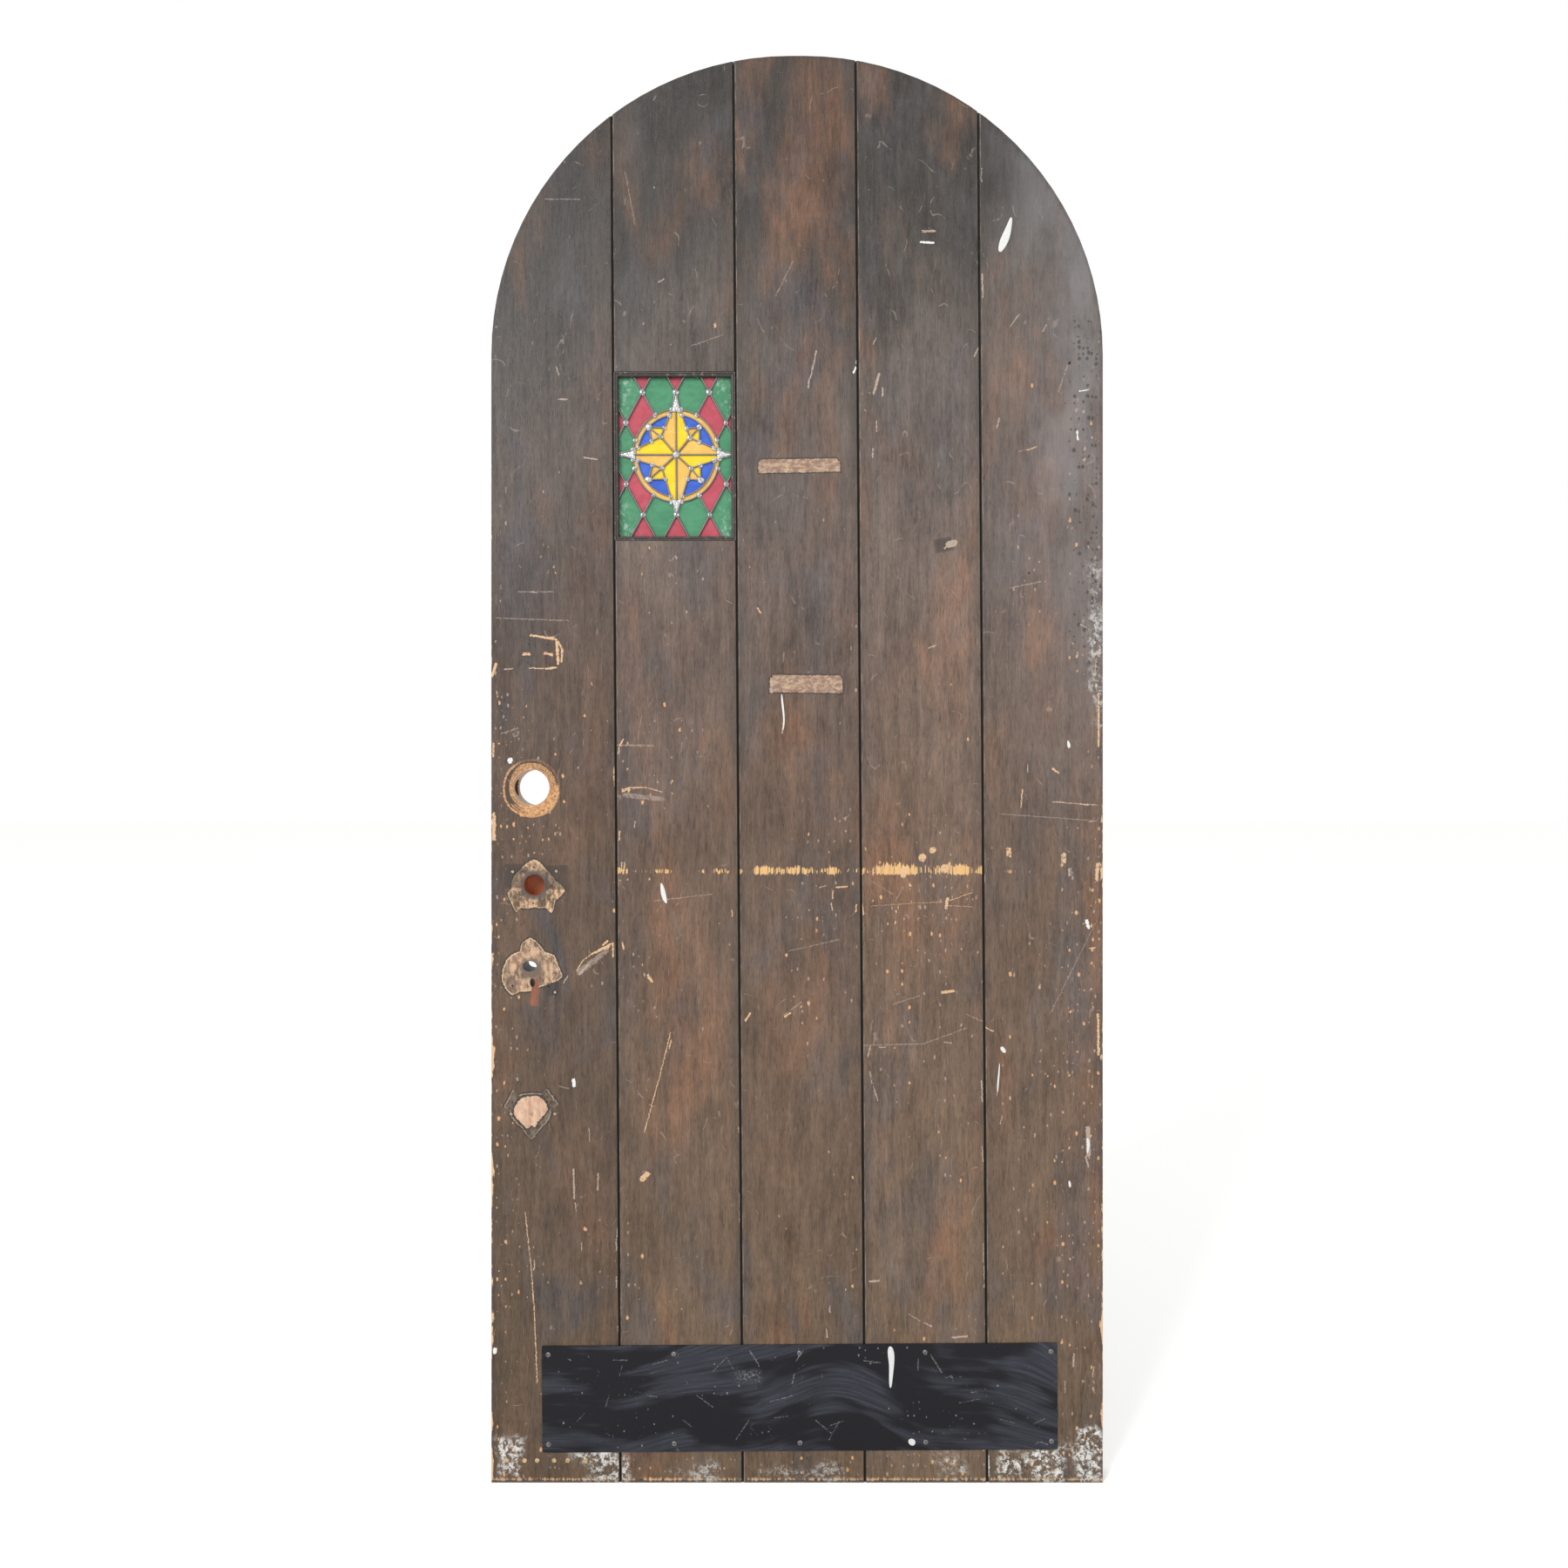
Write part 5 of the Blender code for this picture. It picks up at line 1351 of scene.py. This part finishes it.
def thicken(mesh, depth):       # gives an open sheet that faces the front a back and sides
    work = bmesh.new()
    work.from_mesh(mesh)
    bmesh.ops.remove_doubles(work, verts=work.verts, dist=0.000005)
    for face in work.faces:
        if face.normal.y > 0:
            face.normal_flip()
    copied = bmesh.ops.duplicate(work, geom=list(work.faces))
    backs = [item for item in copied["geom"] if isinstance(item, bmesh.types.BMFace)]
    moved = {vert for face in backs for vert in face.verts}
    for vert in moved:
        vert.co.y += depth
    for face in backs:
        face.normal_flip()
    pairs = copied["vert_map"]
    rims = [edge for edge in work.edges if len(edge.link_faces) == 1 and edge.verts[0] not in moved]
    for edge in rims:
        a, b = edge.verts
        loops = [loop.vert for loop in edge.link_faces[0].loops]
        if loops[(loops.index(a) + 1) % len(loops)] != b:
            a, b = b, a
        work.faces.new((b, a, pairs[a], pairs[b]))
    work.to_mesh(mesh)
    work.free()


glassLooks = {
    "greenGlass": {
        "color": (0.029, 0.128, 0.062, 1), "streak": (0.043, 0.162, 0.084, 1), "pale": (0.30, 0.36, 0.32, 1),
        "hammered": 1.0, "hazy": 0.60},
    "redGlass": {
        "color": (0.250, 0.034, 0.050, 1), "streak": (0.300, 0.050, 0.070, 1), "pale": (0.36, 0.22, 0.23, 1),
        "hammered": 0.8, "hazy": 0.40},
    "yellowGlass": {
        "color": (0.500, 0.345, 0.006, 1), "streak": (0.540, 0.390, 0.016, 1), "pale": (0.5, 0.4, 0.2, 1),
        "hammered": 0.3, "hazy": 0.0},
    "paleOrangeGlass": {
        "color": (0.460, 0.265, 0.050, 1), "streak": (0.500, 0.320, 0.080, 1), "pale": (0.5, 0.4, 0.2, 1),
        "hammered": 0.3, "hazy": 0.0},
    "blueGlass": {
        "color": (0.018, 0.058, 0.310, 1), "streak": (0.032, 0.090, 0.370, 1), "pale": (0.2, 0.3, 0.4, 1),
        "hammered": 0.5, "hazy": 0.0},
}
paneLooks = {                   # with how the names of the nodes that they stand for begin
    "greenPanes": {"glass": "greenGlass", "slot": "green_glass", "ripple": 0.00045,
                   "replaces": ("green_glass_",)},
    "redPanes": {"glass": "redGlass", "slot": "red_glass", "ripple": 0.00035, "replaces": ("red_glass_",)},
    "yellowPanes": {
        "glass": "yellowGlass", "slot": "yellow_glass", "ripple": 0.0002,
        "replaces": ("star_upper_point_right", "star_right_point_lower", "star_lower_point_left",
                     "star_left_point_upper")},
    "paleOrangePanes": {
        "glass": "paleOrangeGlass", "slot": "orange_glass", "ripple": 0.0002,
        "replaces": ("star_upper_point_left", "star_right_point_upper", "star_lower_point_right",
                     "star_left_point_lower")},
    "bandPanes": {"glass": "paleOrangeGlass", "slot": "orange_glass", "ripple": 0.0001, "replaces": ()},
    "bluePanes": {"glass": "blueGlass", "slot": "blue_glass", "ripple": 0.0002, "replaces": ("rose_",)},
}


def makeWindow():
    lattice = latticePanes()
    rose, leads, joints = starAndRose()
    moreLeads, moreJoints = latticeLeads()
    makeLeads(leads, moreLeads, leadFinish())
    makeSolder(joints + moreJoints, solderFinish())

    finished = {name: glassFinish(name, **look) for name, look in glassLooks.items()}
    shown = {
        "greenPanes": lattice["green"], "redPanes": lattice["red"], "yellowPanes": rose["yellow"],
        "paleOrangePanes": rose["paleOrange"], "bandPanes": rose["orange"], "bluePanes": rose["blue"],
    }
    for name, look in paneLooks.items():
        stoodFor = [node for start in look["replaces"] for node in nodes if node.startswith(start)]
        makeGlass(name, shown[name], finished[look["glass"]], stoodFor, look["ripple"])


def makeBeads(material):
    look = {                    # profiles: distance in from the opening's edge, and depth
        "frontProfile": ((0.00025, 0.0012), (0.0006, 0.0003), (0.0024, 0.0003), (0.0028, 0.0011),
                         (0.0032, 0.0013), (0.0035, 0.0009), (0.0044, 0.0005), (0.0056, 0.0008),
                         (0.0067, 0.0018), (0.0073, 0.0034), (0.0074, 0.0076), (0.00025, 0.0076)),
        "backProfile": ((0.00025, 0.0134), (0.0074, 0.0134), (0.0074, 0.0416), (0.0067, 0.0432),
                        (0.0056, 0.0439), (0.0035, 0.0438), (0.0032, 0.0434), (0.0028, 0.0438),
                        (0.0024, 0.0442), (0.0006, 0.0442), (0.00025, 0.0436)),
        "mitreGap": 0.00012,
    }
    corners = ((-1, -1), (1, -1), (1, 1), (-1, 1))
    directions = ((1, 0), (0, 1), (-1, 0), (0, -1))
    for side in ("front", "back"):
        work = bmesh.new()
        profile = look[side + "Profile"]
        for index, direction in enumerate(directions):
            ends = []
            for corner, away in ((index, 1), ((index + 1) % 4, -1)):
                ring = []
                for inset, depth in profile:
                    flat = (Vector(corners[corner])
                            * Vector((window["half"].x - inset, window["half"].y - inset)))
                    flat = leaning(flat + Vector(direction) * away * look["mitreGap"] / 2)
                    ring.append(work.verts.new((flat.x, flat.y, depthToZ(depth))))
                ends.append(ring)
            for (a, b), (c, d) in zip(sides(ends[0]), sides(ends[1])):
                work.faces.new((a, b, d, c))
            work.faces.new(ends[0])
            work.faces.new(ends[1][::-1])
        bmesh.ops.recalc_face_normals(work, faces=work.faces)
        mesh = bpy.data.meshes.new(side)
        work.to_mesh(mesh)
        work.free()
        mesh.transform(upright)
        named = [f"{side}_bead_{place}" for place in ("top", "bottom", "left", "right")]
        addPiece(side + "Beads", mesh, material, named)


# Kick plate, screws, nails and plugs

plate = {
    "middle": (461.2, 127.7),
    "half": Vector((0.3850, 0.0795)),
    "thickness": 0.0014,
    "tilt": math.radians(0.37),
    "screwInset": Vector((0.0095, 0.0125)),
    "headRadius": 0.0038,
    "headHeight": 0.0014,
}
standing = Matrix.Rotation(math.radians(90), 4, "X")
plateStand = Matrix.Translation(onLeaf(*plate["middle"])) @ Matrix.Rotation(-plate["tilt"], 4, "Y") @ standing


def makePlate(material):
    look = {"columns": 130, "rows": 28, "wave": 0.00022, "wavesAcross": 14, "wavesUp": 22, "corner": 0.0016,
            "gap": 0.0003}
    half = plate["half"]
    work = bmesh.new()
    grid = []
    for row in range(look["rows"] + 1):
        for column in range(look["columns"] + 1):
            u = 2 * column / look["columns"] - 1
            v = 2 * row / look["rows"] - 1
            x, y = u * half.x, v * half.y
            overX, overY = abs(x) - (half.x - look["corner"]), abs(y) - (half.y - look["corner"])
            if overX > 0 and overY > 0:
                x -= math.copysign(overX * 0.3, x)
                y -= math.copysign(overY * 0.3, y)
            dip = noise.noise(Vector((x * look["wavesAcross"], y * look["wavesUp"], 3.7))) * look["wave"]
            fade = min(1.0, (1 - abs(u)) * 14, (1 - abs(v)) * 4)
            grid.append(work.verts.new((x, y, dip * fade)))
    width = look["columns"] + 1
    for row in range(look["rows"]):
        for column in range(look["columns"]):
            first = row * width + column
            work.faces.new((grid[first], grid[first + 1], grid[first + width + 1], grid[first + width]))
    mesh = bpy.data.meshes.new("kickPlate")
    work.to_mesh(mesh)
    work.free()
    level = leaf["thickness"] / 2 + look["gap"] + plate["thickness"] - look["wave"] * 0.4
    mesh.transform(plateStand @ Matrix.Translation((0, 0, level)))
    thicken(mesh, plate["thickness"] - look["wave"])
    addPiece("kickPlateSheet", mesh, material, ["kick_plate"])


def turned(name, profile, radius, height, segments):    # a closed round shape from reach and lift
    work = bmesh.new()
    angles = [2 * math.pi * step / segments for step in range(segments)]
    rings = [[work.verts.new((math.cos(a) * reach * radius, math.sin(a) * reach * radius, lift * height))
              for a in angles]
             for reach, lift in profile]
    for lower, upper in zip(rings, rings[1:]):
        for (a, b), (c, d) in zip(sides(lower), sides(upper)):
            work.faces.new((a, b, d, c))
    work.faces.new(rings[-1])
    work.faces.new(rings[0][::-1])
    mesh = bpy.data.meshes.new(name)
    work.to_mesh(mesh)
    work.free()
    return linked(name, mesh)


def screwHead():
    look = {"segments": 28, "slotWidth": 0.0009, "slotDepth": 0.0010, "slotLength": 0.0021}
    height = plate["headHeight"]
    head = turned("screwHead",
                  ((1.0, 0.0), (1.0, 0.12), (0.965, 0.34), (0.86, 0.62), (0.68, 0.84), (0.46, 0.95),
                   (0.22, 1.0)),
                  plate["headRadius"], height, look["segments"])
    cross = bmesh.new()
    for turn in (0, 90):
        spot = Matrix.Rotation(math.radians(turn), 4, "Z") @ Matrix.Translation((0, 0, height))
        size = Matrix.Diagonal((look["slotLength"] * 2, look["slotWidth"], look["slotDepth"] * 2, 1))
        made = bmesh.ops.create_cube(cross, size=1, matrix=spot @ size)
        for vert in made["verts"]:
            if vert.co.z < height:
                vert.co.x *= 0.5
                vert.co.y *= 0.5
    cutMesh = bpy.data.meshes.new("screwCross")
    cross.to_mesh(cutMesh)
    cross.free()
    cutter = linked("screwCross", cutMesh)
    cut = head.modifiers.new("cross", "BOOLEAN")
    cut.object = cutter
    cut.use_self = True
    result = baked(head)
    bpy.data.objects.remove(cutter)
    return linked("screwHeadShape", result)


def strewn(name, shape, places, stand, wobble, seed, material):     # copies of a shape on points, as one mesh
    mesh = bpy.data.meshes.new(name)
    mesh.from_pydata(places, [], [])
    tree = NodeTree(name + "Row",
                    {"shape": "Object", "wobble": "Vector", "seed": "Int", "material": "Material"})
    given = tree.given
    copied = tree.node("GeometryNodeObjectInfo", None, {"Object": given["shape"]}, "Geometry")
    lowest = tree.node("ShaderNodeVectorMath", {"operation": "SCALE"}, {0: given["wobble"], "Scale": -1.0})
    turn = tree.node("FunctionNodeRandomValue", {"data_type": "FLOAT_VECTOR"}, {
        "Min": lowest, "Max": given["wobble"], "Seed": given["seed"]})
    placed = tree.node("GeometryNodeInstanceOnPoints", None, {
        "Points": given["Geometry"], "Instance": copied, "Rotation": turn})
    tree.finish(placed)
    mesh = tree.run(linked(name, mesh), shape=shape, wobble=wobble, seed=seed, material=material)
    bpy.data.objects.remove(shape)
    mesh.transform(stand)
    return mesh


def makeScrews(material):
    reach = plate["half"] - plate["screwInset"]
    places = [(-reach.x + 2 * reach.x * column / 4, row * reach.y, 0) for row in (1, -1) for column in range(5)]
    overPlate, sunk = 0.0006, 0.0002
    seat = leaf["thickness"] / 2 + overPlate + plate["thickness"] - sunk
    stand = plateStand @ Matrix.Translation((0, 0, seat))
    mesh = strewn("screws", screwHead(), places, stand, (0.03, 0.03, 1.57), 3, material)
    addPiece("kickPlateScrews", mesh, material,
             [f"kick_plate_screw_{number}" for number in range(1, 11)])


studs = {                       # left in the wood by removed furniture
    "nails": {
        "places": [(31.8, 913.6), (97.3, 914.4), (29.7, 551.1), (95.1, 551.2), (95.3, 733.3)],
        "profile": ((0.5, -1.0), (1.0, -0.2), (1.0, 0.3), (0.85, 0.75), (0.62, 0.9), (0.45, 0.6), (0.2, 0.2)),
        "radius": 0.0024, "height": 0.0011, "slot": "screw",
    },
    "plugs": {
        "places": [(22.5, 33.2), (49.6, 33.2), (68.6, 33.2), (93.9, 33.2), (114.4, 33.2), (140.5, 33.2)],
        "profile": ((0.9, -1.0), (1.0, -0.3), (0.96, 0.35), (0.80, 0.60), (0.50, 0.42), (0.3, 0.7)),
        "radius": 0.0034, "height": 0.0007, "slot": "wood",
    },
}


def makeStuds(name, material, seed):
    look = studs[name]
    shape = turned(name + "Shape", look["profile"], look["radius"], look["height"], 20)
    places = [onLeaf(*place) for place in look["places"]]
    places = [(place.x, place.z, 0) for place in places]
    stand = standing @ Matrix.Translation((0, 0, leaf["thickness"] / 2))
    mesh = strewn(name, shape, places, stand, (0.06, 0.06, 3.1), seed, material)
    addPiece(name, mesh, material)


def makeDrips(material):
    look = {                    # each drip: points across and up in millimetres with their half width
        "onWood": (
            ((777.6, 1892.6, 2.0), (775.0, 1882.0, 3.6), (771.1, 1867.9, 6.4), (766.0, 1855.0, 7.2),
             (762.0, 1846.0, 5.0), (760.0, 1840.0, 2.0)),
            ((254.0, 897.0, 1.2), (255.5, 890.0, 3.0), (257.5, 881.0, 4.4), (260.0, 871.0, 3.2),
             (262.0, 866.0, 1.2)),
            ((434.0, 1180.0, 0.9), (435.0, 1167.0, 1.8), (437.0, 1152.0, 1.5), (438.0, 1136.0, 1.2),
             (436.0, 1124.0, 0.7)),
            ((762.0, 652.0, 2.6), (765.0, 647.0, 3.8), (769.0, 643.0, 2.4)),
            ((760.0, 628.0, 0.7), (759.0, 612.0, 1.3), (757.5, 596.0, 1.6), (757.0, 582.0, 0.8)),
            ((891.0, 516.0, 1.4), (893.0, 508.0, 3.0), (892.0, 498.0, 2.0), (891.0, 492.0, 0.8)),
            ((862.0, 1110.0, 1.0), (863.6, 1103.3, 3.2), (864.0, 1098.0, 1.6)),
            ((864.0, 452.0, 1.2), (865.0, 446.0, 2.6), (865.5, 441.0, 1.0)),
        ),
        "onPlate": (
            ((596.0, 205.5, 3.0), (597.5, 195.0, 6.2), (598.5, 180.0, 4.4), (597.5, 165.0, 3.4),
             (597.0, 152.0, 2.8), (596.5, 142.0, 1.4)),
            ((624.5, 66.0, 3.0), (628.2, 61.6, 6.6), (632.5, 57.5, 3.4)),
        ),
        "plateLift": 0.0019,
        "height": 0.0006,
        "sunk": 0.00005,
        "section": ((-1.0, 0.0), (-0.85, 0.45), (-0.5, 0.85), (0.0, 1.0), (0.5, 0.85), (0.85, 0.45),
                    (1.0, 0.0)),
    }
    work = bmesh.new()
    for lift, group in ((0.0, look["onWood"]), (look["plateLift"], look["onPlate"])):
        for path in group:
            rows = []
            spots = [onLeaf(across, up) for across, up, _ in path]
            for index, (spot, (_, _, half)) in enumerate(zip(spots, path)):
                before, after = spots[max(index - 1, 0)], spots[min(index + 1, len(spots) - 1)]
                run = (after - before).normalized()
                side = Vector((-run.z, 0, run.x))
                jitter = noise.noise(spot * 300)
                row = []
                for across, rise in look["section"]:
                    point = spot + side * across * half / 1000 * (1 + 0.25 * jitter * across)
                    point.y = front - lift - rise * look["height"] * min(1, half / 3) + look["sunk"]
                    row.append(work.verts.new(point))
                rows.append(row)
            for first, second in zip(rows, rows[1:]):
                for (a, b), (c, d) in zip(zip(first, first[1:]), zip(second, second[1:])):
                    work.faces.new((a, b, d, c))
            work.faces.new(rows[0])
            work.faces.new(rows[-1])
            left, right = [row[0] for row in rows], [row[-1] for row in rows]
            for a, b, c, d in zip(left, left[1:], right[1:], right):
                work.faces.new((a, b, c, d))
    bmesh.ops.recalc_face_normals(work, faces=work.faces)
    mesh = bpy.data.meshes.new("paintDrips")
    work.to_mesh(mesh)
    work.free()
    obj = linked("paintDrips", mesh)
    soft = obj.modifiers.new("soft", "SUBSURF")
    soft.levels = soft.render_levels = 2
    addPiece("paintDrips", baked(obj), material)


makeStudio()
finishBoards()
makeWindow()
makeBeads(beadFinish())
makePlate(plateFinish())
makeScrews(steelFinish())
makeStuds("nails", studFinish("rustyCream", (0.10, 0.06, 0.04, 1), (0.40, 0.35, 0.27, 1)), 5)
makeStuds("plugs", studFinish("paleFiller", (0.22, 0.12, 0.05, 1), (0.45, 0.33, 0.19, 1)), 6)
makeDrips(paintFinish())

print("pieces made")
